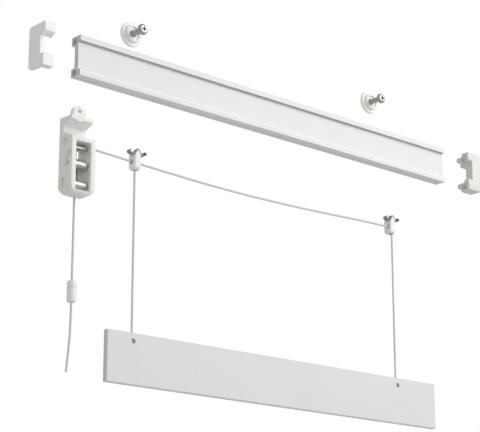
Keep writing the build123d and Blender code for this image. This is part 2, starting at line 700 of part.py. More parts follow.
def make_knot(x, y, z):
    """A tight round end knot."""
    return Pos(x, y, z) * Sphere(KNOT_DIAMETER / 2)


# Connector


def make_connector_upper():
    """Upper half of the cord connector, a rounded barrel with a socket below."""
    bottom = CONNECTOR_TOP_Z - CONNECTOR_UPPER_LENGTH
    shell = rod_z(CONNECTOR_DIAMETER, LOCK_CORD_X, LOCK_CORD_Y, bottom, CONNECTOR_TOP_Z)
    shell = fillet(shell.faces().sort_by(Axis.Z)[-1].edges(), CONNECTOR_ROUNDING)
    socket = CONNECTOR_SPIGOT_DIAMETER + 2 * CONNECTOR_SPIGOT_PLAY
    socket_top = bottom + CONNECTOR_SPIGOT_LENGTH + SPIGOT_TIP_SPACE
    shell -= rod_z(socket, LOCK_CORD_X, LOCK_CORD_Y, bottom - 1, socket_top)
    return shell - rod_z(CONNECTOR_BORE_DIAMETER, LOCK_CORD_X, LOCK_CORD_Y, bottom, CONNECTOR_TOP_Z + 1)


def make_connector_lower():
    """Lower half of the connector, with the spigot that snaps into the upper half."""
    top = CONNECTOR_TOP_Z - CONNECTOR_UPPER_LENGTH
    bottom = top - CONNECTOR_LOWER_LENGTH
    shell = rod_z(CONNECTOR_DIAMETER, LOCK_CORD_X, LOCK_CORD_Y, bottom, top)
    shell = fillet(shell.faces().sort_by(Axis.Z)[0].edges(), CONNECTOR_ROUNDING)
    shell += rod_z(
        CONNECTOR_SPIGOT_DIAMETER, LOCK_CORD_X, LOCK_CORD_Y, top - SPIGOT_ROOT, top + CONNECTOR_SPIGOT_LENGTH
    )
    shell -= rod_z(
        CONNECTOR_CAVITY_DIAMETER,
        LOCK_CORD_X,
        LOCK_CORD_Y,
        top + CONNECTOR_SPIGOT_LENGTH - CONNECTOR_CAVITY_DEPTH,
        top + CONNECTOR_SPIGOT_LENGTH + 1,
    )
    return shell - rod_z(CONNECTOR_BORE_DIAMETER, LOCK_CORD_X, LOCK_CORD_Y, bottom - 1, top)


def connector_knot_z():
    """Centre of the knot that joins the cords inside the connector."""
    top = CONNECTOR_TOP_Z - CONNECTOR_UPPER_LENGTH + CONNECTOR_SPIGOT_LENGTH
    return top - CONNECTOR_CAVITY_DEPTH + KNOT_DIAMETER / 2 + KNOT_SEAT_GAP


def make_tail_cord():
    """The free tail below the connector, cut off plain."""
    start = (LOCK_CORD_X, LOCK_CORD_Y, connector_knot_z() - KNOT_DIAMETER / 2)
    bottom = CONNECTOR_TOP_Z - CONNECTOR_UPPER_LENGTH - CONNECTOR_LOWER_LENGTH
    points = [start] + [(LOCK_CORD_X + dx, LOCK_CORD_Y, bottom + dz) for dx, dz in TAIL_POINTS]
    return cord_tube("tail_cord", points)


# Bottom bar


def make_bar():
    """The flat weighted bar, bored from its top edge into a cross hole for each lift cord."""
    front = CORD_Y - BAR_THICKNESS / 2
    rear = CORD_Y + BAR_THICKNESS / 2
    bar = block(BAR_LEFT_X, BAR_RIGHT_X, front, rear, BAR_TOP_Z - BAR_HEIGHT, BAR_TOP_Z)
    bar = chamfer(bar.edges(), BAR_EDGE_BEVEL)
    hole_z = BAR_TOP_Z - BAR_HOLE_DROP
    for x in (LEFT_CORD_X, RIGHT_CORD_X):
        bar -= rod_y(BAR_HOLE_DIAMETER, x, front - 1, rear + 1, hole_z)
        bar -= rod_z(BAR_BORE_DIAMETER, x, CORD_Y, hole_z, BAR_TOP_Z + 1)
    return bar


save("rail", make_rail())
left_cap = make_cap(
    -1,
    LEFT_CAP_PLATE,
    LEFT_CAP_ARM,
    LEFT_CAP_ARM_DEPTH,
    LEFT_CAP_PEG,
    LEFT_CAP_PULLED,
    LEFT_CAP_NOTCH,
    LEFT_CAP_REAR_STAND,
    LEFT_CAP_RISE,
)
save("left_end_cap", left_cap)
right_cap = make_cap(
    1,
    RIGHT_CAP_PLATE,
    RIGHT_CAP_ARM,
    RIGHT_CAP_ARM_DEPTH,
    RIGHT_CAP_PEG,
    RIGHT_CAP_PULLED,
    RIGHT_CAP_NOTCH,
    RIGHT_CAP_REAR_STAND,
    RIGHT_CAP_RISE,
)
save("right_end_cap", right_cap)

for hand, disc_x, disc_z in zip(("left", "right"), DISC_X, DISC_Z):
    save(f"{hand}_wall_disc", make_disc(disc_x, disc_z))
    save(f"{hand}_fixing_screw", make_screw(disc_x, disc_z))

save("lock_housing", make_lock_housing())
save("lock_guide_pin", make_pin(GUIDE_PIN_DIAMETER, GUIDE_PIN_Y, GUIDE_PIN_Z, PIN_SIDE_SKIN))
save("locking_roller_pin", make_pin(ROLLER_PIN_DIAMETER, ROLLER_Y, LOCKING_ROLLER_Z, SIDE_DIMPLE_DEPTH))
save("locking_roller", make_roller(LOCKING_ROLLER_Z))
save("lower_roller_pin", make_pin(ROLLER_PIN_DIAMETER, ROLLER_Y, LOWER_ROLLER_Z, PIN_SIDE_SKIN))
save("lower_roller", make_roller(LOWER_ROLLER_Z))

for hand, cord_x in (("left", LEFT_CORD_X), ("right", RIGHT_CORD_X)):
    save(f"{hand}_carrier_body", make_carrier(cord_x))
    save(f"{hand}_carrier_spring", make_spring(cord_x))
    low = knot_z() + KNOT_DIAMETER / 2
    top = lift_cord_top(cord_x)
    save(f"{hand}_lift_cord", straight_cord(f"{hand}_lift_cord", cord_x, CORD_Y, low, top))
    save(f"{hand}_cord_knot", make_knot(cord_x, CORD_Y, knot_z()))

save("lock_cord", make_lock_cord())
save("span_cord", make_span_cord())
knot_top = connector_knot_z() + KNOT_DIAMETER / 2
save("pull_cord", straight_cord("pull_cord", LOCK_CORD_X, LOCK_CORD_Y, knot_top, LOCK_BOTTOM_Z))
save("connector_upper", make_connector_upper())
save("connector_lower", make_connector_lower())
save("connector_knot", make_knot(LOCK_CORD_X, LOCK_CORD_Y, connector_knot_z()))
save("tail_cord", make_tail_cord())
save("bottom_bar", make_bar())
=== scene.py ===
import math

import bmesh
import bpy
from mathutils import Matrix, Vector


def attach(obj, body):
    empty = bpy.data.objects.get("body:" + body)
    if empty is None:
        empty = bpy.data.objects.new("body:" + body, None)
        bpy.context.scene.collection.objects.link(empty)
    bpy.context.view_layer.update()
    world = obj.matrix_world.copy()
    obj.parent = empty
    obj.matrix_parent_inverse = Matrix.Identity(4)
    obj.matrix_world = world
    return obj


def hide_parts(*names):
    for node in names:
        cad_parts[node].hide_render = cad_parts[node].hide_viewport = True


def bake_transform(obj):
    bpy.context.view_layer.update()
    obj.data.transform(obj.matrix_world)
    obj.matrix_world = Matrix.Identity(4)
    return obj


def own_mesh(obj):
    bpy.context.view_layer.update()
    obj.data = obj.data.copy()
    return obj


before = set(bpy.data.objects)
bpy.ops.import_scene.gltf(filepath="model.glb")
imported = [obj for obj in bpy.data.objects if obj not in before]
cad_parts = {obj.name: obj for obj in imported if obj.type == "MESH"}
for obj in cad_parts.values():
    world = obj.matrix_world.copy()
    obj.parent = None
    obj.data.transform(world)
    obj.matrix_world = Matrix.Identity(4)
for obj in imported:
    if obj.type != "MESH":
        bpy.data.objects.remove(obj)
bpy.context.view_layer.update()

# The view and the studio. The photograph has a white backdrop, soft light from the front above,
# and open shade on the left faces and the undersides.
VIEW_FROM = Vector((-0.7008, -0.7478, -0.3571))
VIEW_HEADING = math.radians(41.96)
VIEW_PITCH = math.radians(15.75)
PHOTO_WIDTH_PX = 480
FOCAL_LENGTH_PX = 1608
SENSOR_MM = 36.0
NEAR_CLIP = 0.05
FAR_CLIP = 40.0
KIT_CENTRE = Vector((0.0, -0.005, -0.08))
SHADE_STRENGTH = 0.56
BACKDROP_STRENGTH = 1.0
STUDIO_WHITE = "FFFFFF"


def set_out(name, data):
    """A new object, set out in the scene."""
    obj = bpy.data.objects.new(name, data)
    bpy.context.scene.collection.objects.link(obj)
    return obj


camera_data = bpy.data.cameras.new("camera")
camera_data.sensor_width = SENSOR_MM
camera_data.lens = FOCAL_LENGTH_PX * SENSOR_MM / PHOTO_WIDTH_PX
camera_data.clip_start = NEAR_CLIP
camera_data.clip_end = FAR_CLIP
camera = set_out("camera", camera_data)
looking = Vector((
    math.sin(VIEW_HEADING) * math.cos(VIEW_PITCH),
    math.cos(VIEW_HEADING) * math.cos(VIEW_PITCH),
    math.sin(VIEW_PITCH),
))
camera.location = VIEW_FROM
camera.rotation_euler = looking.to_track_quat("-Z", "Y").to_euler()
bpy.context.scene.camera = camera
bpy.context.scene.view_settings.view_transform = "Standard"


def linear(hex_colour):
    """An sRGB hex colour as linear RGBA."""
    channels = [int(hex_colour[i:i + 2], 16) / 255 for i in (0, 2, 4)]
    return [c / 12.92 if c <= 0.04045 else ((c + 0.055) / 1.055) ** 2.4 for c in channels] + [1.0]


def feed(tree, node, links):
    """Feeds a node's inputs from (input, source) pairs. A source is a socket, a node, which gives
    its first output, or a plain value."""
    for name, source in links:
        if isinstance(source, bpy.types.Node):
            source = source.outputs[0]
        if isinstance(source, bpy.types.NodeSocket):
            tree.links.new(source, node.inputs[name])
        else:
            node.inputs[name].default_value = source


def add(tree, kind, links=(), **settings):
    """Adds a node with its own settings, and feeds its inputs."""
    node = tree.nodes.new(kind)
    for name, value in settings.items():
        setattr(node, name, value)
    feed(tree, node, links)
    return node


world = bpy.data.worlds.new("studio")
bpy.context.scene.world = world
world.use_nodes = True
studio = world.node_tree
studio.nodes.clear()
shade = add(studio, "ShaderNodeBackground", [
    ("Color", linear(STUDIO_WHITE)), ("Strength", SHADE_STRENGTH)])
backdrop = add(studio, "ShaderNodeBackground", [
    ("Color", linear(STUDIO_WHITE)), ("Strength", BACKDROP_STRENGTH)])
ray = add(studio, "ShaderNodeLightPath")
mixed = add(studio, "ShaderNodeMixShader", [
    (0, ray.outputs["Is Camera Ray"]), (1, shade), (2, backdrop)])
add(studio, "ShaderNodeOutputWorld", [("Surface", mixed)])


def softbox(name, side, distance, size, power):
    data = bpy.data.lights.new(name, "AREA")
    data.size = size
    data.energy = power
    lamp = set_out(name, data)
    towards = Vector(side).normalized()
    lamp.location = KIT_CENTRE + towards * distance
    lamp.rotation_euler = (-towards).to_track_quat("-Z", "Y").to_euler()


softbox("key_softbox", side=(0.50, -0.78, 0.40), distance=1.3, size=1.1, power=9.8)
softbox("low_reflector", side=(0.55, -0.20, -0.95), distance=1.6, size=1.0, power=0.4)

# The studio's floor.
FLOOR_DROP = 2.4
FLOOR_HALF_WIDTH = 22.0
FLOOR_GLOW = 0.28
FLOOR_PAINT = "F4F4F2"
floor_mesh = bpy.data.meshes.new("floor")
floor_mesh.from_pydata([
    (x * FLOOR_HALF_WIDTH, y * FLOOR_HALF_WIDTH, -FLOOR_DROP)
    for x, y in ((-1, -1), (1, -1), (1, 1), (-1, 1))
], [], [(0, 1, 2, 3)])
floor = set_out("floor", floor_mesh)
floor_paint = bpy.data.materials.new("matt_floor_paint")
floor_paint.use_nodes = True
seen = add(floor_paint.node_tree, "ShaderNodeLightPath")
glow = add(floor_paint.node_tree, "ShaderNodeMath", [
    (0, seen.outputs["Is Camera Ray"]), (1, FLOOR_GLOW)], operation="MULTIPLY")
feed(floor_paint.node_tree, floor_paint.node_tree.nodes["Principled BSDF"], [
    ("Base Color", linear(FLOOR_PAINT)), ("Roughness", 0.9),
    ("Emission Color", linear(STUDIO_WHITE)), ("Emission Strength", glow)])
floor_mesh.materials.append(floor_paint)

# Rail. A white blind rail, extruded in aluminium and powder-coated. It has two lips round a
# recessed front panel, and was sawn to length after coating, so its ends are bare metal.
MM = 0.001
COAT_LIGHT = "EEEEED"
COAT_SHADE = "E8E8E7"
COAT_CLOUDS_MM = 38.46
# A painted highlight: a thin white line along the lower lip's edge.
EDGE_HIGHLIGHT_WHITE = "FFFFFF"
EDGE_HIGHLIGHT_WIDTH_MM = 0.5
# Painted shade: the grey painted into the corner under the top lip.
LIP_PAINTED_SHADE = "7A7A78"
PAINTED_SHADE_REACH_MM = 1.5
PAINTED_SHADE_UNDERSIDE_SHARE = 0.5
PAINTED_SHADE_LEAST = 0.001
SAWN_ALUMINIUM = "C8C8C6"
BARE_ALUMINIUM = "DADAD8"
SAWN_METALLIC = 0.3
SAW_MARK_MM = 0.6
SAW_STRETCH = 0.12
SAW_TILT = 0.5
END_FACE_SLOPE = 0.9
ORANGE_PEEL_MM = 1.6
DIE_LINE_MM = 0.45
DIE_STRETCH = 0.004
COAT_RELIEF_MM = 0.06
COAT_BASE_HEIGHT = 0.35
RAIL_EDGE_MM = 0.2
RAIL_SHARP_DEGREES = 14.0
TOP_LIP_UNDERSIDE_MM = 9.4
RECESS_FRONT_MM = -8.75
EDGE_HIGHLIGHT_Z_MM = -9.75
PANEL_FRONT_MM = -6.8
BEAD_FRONT_MM = -7.1
BEAD_MIDDLE_MM = -6.2
BEAD_REACH_MM = 0.5
FACE_MARGIN_MM = 0.05
JOIN_MM = 0.002
FLAT_DEGREES = 0.6
EDGE_DEGREES = 32.0


def bare_material(name):
    """A new material, its node tree, its shader, and the place of each point on its piece."""
    material = bpy.data.materials.new(name)
    material.use_nodes = True
    tree = material.node_tree
    place = add(tree, "ShaderNodeTexCoord").outputs["Object"]
    return material, tree, tree.nodes["Principled BSDF"], place


def powder_coated_aluminium(name, light, shade_colour, sawn, lip_painted_shade=0.0, spot_wear_and_edge_highlight=0.0):
    """Powder-coated aluminium: a satin skin with fine orange peel over faint die lines along X,
    and bare sawn metal on the end faces. Of the last two arguments, the first sets how much
    painted shade darkens the corner under a top lip, and the second how much a painted highlight
    whitens the edge of a lower lip."""
    material, tree, shader, place = bare_material(name)
    # Orange peel: soft cells left where the powder flowed, seen only in the highlights.
    peel = add(tree, "ShaderNodeTexNoise", [
        ("Vector", place), ("Scale", 1 / (ORANGE_PEEL_MM * MM)), ("Detail", 1.5)])
    # Die lines: the drag of the extrusion die, drawn coarse enough to show.
    drawn = add(tree, "ShaderNodeMapping", [
        ("Vector", place), ("Scale", (DIE_STRETCH, 1.0, 1.0))])
    lines = add(tree, "ShaderNodeTexNoise", [
        ("Vector", drawn), ("Scale", 1 / (DIE_LINE_MM * MM)), ("Detail", 2.0)])
    # Saw marks: fine scratches straight across the cut end.
    cut = add(tree, "ShaderNodeMapping", [
        ("Vector", place), ("Rotation", (SAW_TILT, 0.0, 0.0)),
        ("Scale", (1.0, SAW_STRETCH, 1.0))])
    saw = add(tree, "ShaderNodeTexNoise", [
        ("Vector", cut), ("Scale", 1 / (SAW_MARK_MM * MM)), ("Detail", 3.0)])
    facing = add(tree, "ShaderNodeSeparateXYZ", [
        ("Vector", add(tree, "ShaderNodeNewGeometry").outputs["Normal"])])
    along = add(tree, "ShaderNodeMath", [(0, facing.outputs["X"])], operation="ABSOLUTE")
    end_face = add(tree, "ShaderNodeMath", [(0, along), (1, END_FACE_SLOPE)],
                   operation="GREATER_THAN")
    # Clouds: slow changes in the coat's tone, as its thickness varies.
    clouds = add(tree, "ShaderNodeTexNoise", [
        ("Vector", place), ("Scale", 1 / (COAT_CLOUDS_MM * MM)), ("Detail", 3.0)])
    clean = add(tree, "ShaderNodeMix", [
        ("Factor", clouds.outputs["Fac"]), ("A", linear(light)), ("B", linear(shade_colour))],
        data_type="RGBA")
    # Painted shade: grey painted into the corner under the top lip, darkest on the lip's
    # underside.
    spot = add(tree, "ShaderNodeSeparateXYZ", [("Vector", place)])
    below_lip = add(tree, "ShaderNodeMapRange", [
        ("Value", spot.outputs["Z"]),
        ("From Min", (TOP_LIP_UNDERSIDE_MM - PAINTED_SHADE_REACH_MM) * MM),
        ("From Max", TOP_LIP_UNDERSIDE_MM * MM),
        ("To Min", 0.0), ("To Max", 1.0 - PAINTED_SHADE_UNDERSIDE_SHARE)],
        interpolation_type="SMOOTHERSTEP")
    not_above = add(tree, "ShaderNodeMath", [
        (0, spot.outputs["Z"]), (1, (TOP_LIP_UNDERSIDE_MM + FACE_MARGIN_MM) * MM)],
        operation="LESS_THAN")
    recessed = add(tree, "ShaderNodeMath", [
        (0, spot.outputs["Y"]), (1, RECESS_FRONT_MM * MM)], operation="GREATER_THAN")
    downward = add(tree, "ShaderNodeMapRange", [
        ("Value", facing.outputs["Z"]), ("From Min", -0.5), ("From Max", -0.9)])
    corner = add(tree, "ShaderNodeMath", [
        (0, downward), (1, PAINTED_SHADE_UNDERSIDE_SHARE), (2, below_lip)], operation="MULTIPLY_ADD")
    inside = add(tree, "ShaderNodeMath", [(0, recessed), (1, not_above)], operation="MULTIPLY")
    near_lip = add(tree, "ShaderNodeMath", [(0, below_lip), (1, PAINTED_SHADE_LEAST)],
                   operation="GREATER_THAN")
    shade_zone = add(tree, "ShaderNodeMath", [(0, inside), (1, near_lip)], operation="MULTIPLY")
    lip_shade_mask = add(tree, "ShaderNodeMath", [(0, corner), (1, shade_zone)], operation="MULTIPLY")
    shade_amount = add(tree, "ShaderNodeMath", [(0, lip_shade_mask), (1, lip_painted_shade)], operation="MULTIPLY")
    coat = add(tree, "ShaderNodeMix", [
        ("Factor", shade_amount), ("A", clean.outputs["Result"]), ("B", linear(LIP_PAINTED_SHADE))],
        data_type="RGBA")
    # Painted highlight: a thin white line painted along the front of the lower lip, by its rounded
    # edge.
    from_edge = add(tree, "ShaderNodeMath", [
        (0, spot.outputs["Z"]), (1, EDGE_HIGHLIGHT_Z_MM * MM)], operation="SUBTRACT")
    off_edge = add(tree, "ShaderNodeMath", [(0, from_edge)], operation="ABSOLUTE")
    highlight_ramp = add(tree, "ShaderNodeMapRange", [
        ("Value", off_edge), ("From Min", 0.0), ("From Max", EDGE_HIGHLIGHT_WIDTH_MM * MM),
        ("To Min", spot_wear_and_edge_highlight), ("To Max", 0.0)])
    on_front = add(tree, "ShaderNodeMath", [
        (0, spot.outputs["Y"]), (1, RECESS_FRONT_MM * MM)], operation="LESS_THAN")
    highlight_mask = add(tree, "ShaderNodeMath", [(0, highlight_ramp), (1, on_front)], operation="MULTIPLY")
    highlighted_coat = add(tree, "ShaderNodeMix", [
        ("Factor", highlight_mask), ("A", coat.outputs["Result"]), ("B", linear(EDGE_HIGHLIGHT_WHITE))],
        data_type="RGBA")
    bare_metal = add(tree, "ShaderNodeMix", [
        ("Factor", saw.outputs["Fac"]), ("A", linear(sawn)), ("B", linear(BARE_ALUMINIUM))],
        data_type="RGBA")
    colour = add(tree, "ShaderNodeMix", [
        ("Factor", end_face), ("A", highlighted_coat.outputs["Result"]),
        ("B", bare_metal.outputs["Result"])], data_type="RGBA")
    rough = add(tree, "ShaderNodeMapRange", [
        ("Value", peel.outputs["Fac"]), ("To Min", 0.36), ("To Max", 0.46)])
    skin = add(tree, "ShaderNodeMath", [
        (0, peel.outputs["Fac"]), (1, lines.outputs["Fac"]), (2, COAT_BASE_HEIGHT)],
        operation="MULTIPLY_ADD")
    relief = add(tree, "ShaderNodeMix", [
        ("Factor", end_face), ("A", skin.outputs[0]), ("B", saw.outputs["Fac"])],
        data_type="FLOAT")
    bump = add(tree, "ShaderNodeBump", [
        ("Height", relief.outputs["Result"]), ("Strength", 0.22),
        ("Distance", COAT_RELIEF_MM * MM)])
    metal = add(tree, "ShaderNodeMath", [(0, end_face), (1, SAWN_METALLIC)],
                operation="MULTIPLY")
    feed(tree, shader, [
        ("Base Color", colour.outputs["Result"]), ("Roughness", rough), ("Metallic", metal),
        ("Normal", bump), ("Specular IOR Level", 0.45)])
    return material


def put(name, mesh, material, body, nodes, sharp_degrees=EDGE_DEGREES):
    """Puts a finished mesh in the scene in place of its CAD nodes, smooth but for its sharp edges.
    A piece with no body is left unattached."""
    mesh.materials.clear()
    mesh.materials.append(material)
    mesh.shade_smooth()
    mesh.set_sharp_from_angle(angle=math.radians(sharp_degrees))
    piece = set_out(name, mesh)
    if body:
        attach(piece, body)
    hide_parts(*nodes)
    return piece


def evaluated_mesh(obj):
    """The plain mesh that an object's modifiers give. The object is taken away."""
    bpy.context.view_layer.update()
    graph = bpy.context.evaluated_depsgraph_get()
    mesh = bpy.data.meshes.new_from_object(obj.evaluated_get(graph))
    bpy.data.objects.remove(obj)
    return mesh


def rounded_copy(node, edge_mm, reshape=None):
    """A copy of a CAD solid with its triangles joined and its edges broken by a small round.
    reshape is called on the copy first, where a point has to move."""
    shape = bmesh.new()
    shape.from_mesh(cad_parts[node].data)
    if reshape:
        reshape(shape)
    bmesh.ops.remove_doubles(shape, verts=shape.verts, dist=JOIN_MM * MM)
    bmesh.ops.dissolve_limit(shape, angle_limit=math.radians(FLAT_DEGREES), verts=shape.verts,
                             edges=shape.edges)
    mesh = bpy.data.meshes.new(f"{node}_shape")
    shape.to_mesh(mesh)
    shape.free()
    obj = set_out(f"{node}_shape", mesh)
    edges = obj.modifiers.new("edge_round", "BEVEL")
    edges.width = edge_mm * MM
    edges.segments = 2
    edges.limit_method = "ANGLE"
    edges.angle_limit = math.radians(EDGE_DEGREES)
    return evaluated_mesh(obj)


def flatten_bead(shape):
    """Lays the small bead of the rail's panel back into the panel."""
    for vert in shape.verts:
        on_bead = abs(vert.co.y / MM - BEAD_FRONT_MM) < FACE_MARGIN_MM
        if on_bead and abs(vert.co.z / MM - BEAD_MIDDLE_MM) < BEAD_REACH_MM:
            vert.co.y = PANEL_FRONT_MM * MM


# The rail's coat gets painted shade under its top lip and a painted highlight along its lower
# lip's edge.
rail_coat = powder_coated_aluminium(
    "powder_coated_rail", COAT_LIGHT, COAT_SHADE, SAWN_ALUMINIUM, lip_painted_shade=0.55, spot_wear_and_edge_highlight=1.0)
# Each facet of the edge rounds counts as sharp, so that the shading of the long faces stays even.
put("rail_extrusion", rounded_copy("rail", RAIL_EDGE_MM, flatten_bead), rail_coat, "root",
    ["rail"], RAIL_SHARP_DEGREES)

# End caps. One for each end of the rail, injection-moulded in white ABS, with arms that sleeve the
# rail's lips and two round pegs that push into its ports.
# Both caps are the same white ABS; the right cap's darker tones are painted shade.
CAP_TONES_RIGHT_IN_PAINTED_SHADE = {"left": ("FDFCFA", "F8F7F5"), "right": ("E9E8E5", "E1E0DD")}
MOULDED_EDGE_MM = 0.3
SPARK_GRAIN_MM = 0.4
SPARK_RELIEF_MM = 0.03
MELT_CLOUDS_MM = 9.091
MILKY_DEPTH_MM = 2.5


def moulded_plastic(name, light, shade_colour, roughness, milky=0.0):
    """Injection-moulded plastic: a faint spark-eroded grain, drawn coarser than life so that it
    shows, and slow clouds in the colour where the melt flowed. milky is how much light passes
    into its skin."""
    material, tree, shader, place = bare_material(name)
    grain = add(tree, "ShaderNodeTexNoise", [
        ("Vector", place), ("Scale", 1 / (SPARK_GRAIN_MM * MM)), ("Detail", 3.0)])
    flow = add(tree, "ShaderNodeTexNoise", [
        ("Vector", place), ("Scale", 1 / (MELT_CLOUDS_MM * MM)), ("Detail", 2.0),
        ("Distortion", 1.2)])
    colour = add(tree, "ShaderNodeMix", [
        ("Factor", flow.outputs["Fac"]), ("A", linear(light)), ("B", linear(shade_colour))],
        data_type="RGBA")
    gloss = add(tree, "ShaderNodeMapRange", [
        ("Value", grain.outputs["Fac"]), ("To Min", roughness - 0.05),
        ("To Max", roughness + 0.07)])
    bump = add(tree, "ShaderNodeBump", [
        ("Height", grain.outputs["Fac"]), ("Strength", 0.18), ("Distance", SPARK_RELIEF_MM * MM)])
    feed(tree, shader, [
        ("Base Color", colour.outputs["Result"]), ("Roughness", gloss), ("Normal", bump),
        ("IOR", 1.53), ("Subsurface Weight", milky), ("Subsurface Radius", (1.0, 1.0, 0.9)),
        ("Subsurface Scale", MILKY_DEPTH_MM * MM)])
    return material


for side, (light, shade_tone) in CAP_TONES_RIGHT_IN_PAINTED_SHADE.items():
    node = f"{side}_end_cap"
    cap_plastic = moulded_plastic(f"moulded_cap_abs_{side}", light, shade_tone, roughness=0.42)
    put(f"{side}_moulded_cap", rounded_copy(node, MOULDED_EDGE_MM), cap_plastic, f"{side}_cap",
        [node])

# Wall discs. Two stepped round discs in white nylon that hold the rail's clips off the wall. Each
# is moulded in one shot, with a flange, a hub and a dished seat for the screw's head.
DISC_CENTRES_MM = {"left": (-116.9, 30.3), "right": (101.2, 37.1)}
DISC_PROFILE_MM = (
    (5.6, 2.25, 0.15), (5.6, 8.2, 0.3), (3.8, 8.2, 0.5), (3.6, 6.1, 0.3), (1.6, 5.8, 0.6),
    (1.6, 4.3, 0.35), (2.6, 4.1, 0.4), (2.6, 2.25, 0.2),
)
DISC_LIGHT = "FDFCFA"
DISC_SHADE = "F7F6F3"
DISC_SHARP_DEGREES = 40.0
MOST_OF_HALF_EDGE = 0.49


def with_rounds(profile, steps=4):
    """A closed profile of (along, radius, round) corners, with each corner turned into an arc."""
    points = []
    for i, (along, radius, corner) in enumerate(profile):
        here = Vector((along, radius))
        before = Vector(profile[i - 1][:2])
        after = Vector(profile[(i + 1) % len(profile)][:2])
        if corner == 0:
            points.append(here)
            continue
        back, ahead = before - here, after - here
        first = here + back.normalized() * min(corner, back.length * MOST_OF_HALF_EDGE)
        last = here + ahead.normalized() * min(corner, ahead.length * MOST_OF_HALF_EDGE)
        for step in range(steps + 1):
            t = step / steps
            points.append(first * (1 - t) ** 2 + here * (2 * t * (1 - t)) + last * t ** 2)
    return points


def turned(name, profile, centre, axis, around=56):
    """A turned shape: a closed profile of (along, radius, round) corners swept round an axis
    through a point, in mm. Corners on the axis become poles."""
    shape = bmesh.new()
    rings = []
    for along, radius in with_rounds(profile):
        ring = []
        for k in range(1 if radius < 1e-6 else around):
            angle = 2 * math.pi * k / around
            u, v = radius * math.cos(angle), radius * math.sin(angle)
            offset = {"X": (along, u, v), "Y": (u, along, v), "Z": (u, v, along)}[axis]
            ring.append(shape.verts.new([(c + o) * MM for c, o in zip(centre, offset)]))
        rings.append(ring)
    for low, high in zip(rings, rings[1:] + rings[:1]):
        if len(low) == 1 and len(high) == 1:
            continue
        for k in range(around):
            corners = {low[k % len(low)]: None, low[(k + 1) % len(low)]: None,
                       high[(k + 1) % len(high)]: None, high[k % len(high)]: None}
            shape.faces.new(list(corners))
    bmesh.ops.recalc_face_normals(shape, faces=shape.faces)
    mesh = bpy.data.meshes.new(name)
    shape.to_mesh(mesh)
    shape.free()
    return mesh


disc_plastic = moulded_plastic("moulded_disc_nylon", DISC_LIGHT, DISC_SHADE, roughness=0.36)
for side, (x, z) in DISC_CENTRES_MM.items():
    disc = turned(f"{side}_disc", DISC_PROFILE_MM, (x, 0.0, z), "Y")
    put(f"{side}_moulded_disc", disc, disc_plastic, "root", [f"{side}_wall_disc"],
        DISC_SHARP_DEGREES)

# Fixing screws. Two cross-slot pan-head screws in zinc-plated steel, one through each disc. The
# head is cold-formed with its slot, and the thread is rolled on the shank.
SCREW_SEAT_Y_MM = -6.2
SCREW_LENGTH_MM = 18.0
SCREW_SUNK_MM = 0.6
SCREW_CORE_MM = 3.0
SCREW_CREST_MM = 4.0
SCREW_PITCH_MM = 1.8
SCREW_TIP_MM = 3.4
SCREW_HEAD_MM = 2.3
SCREW_HEAD_PROFILE_MM = (
    (0.0, 0.0, 0.0), (0.0, 3.6, 0.25), (-1.0, 3.6, 0.3), (-SCREW_HEAD_MM, 2.6, 1.1),
    (-SCREW_HEAD_MM, 0.0, 0.0),
)
SCREW_SHARP_DEGREES = 30.0
SLOT_SPAN_MM = 4.2
SLOT_WIDTH_MM = 0.95
SLOT_DEPTH_MM = 1.5
SLOT_TAPER = 0.55
SLOT_MARGIN_MM = 0.05
SLOT_BRIGHT_MM = 0.3
PUNCH_ABOVE_MM = 1.0
CREST_SHARE = 0.66
HEAD_RUN_IN = 60.0
SHANK_POINTS_AROUND = 41
SHANK_POINTS_ALONG = 190
ZINC_LIGHT = "CDCAC5"
ZINC_SHADE = "A7A49F"
SLOT_PAINTED_SHADE = "2C2A28"
ZINC_CLOUDS_MM = 1.923
ZINC_RELIEF_MM = 0.03


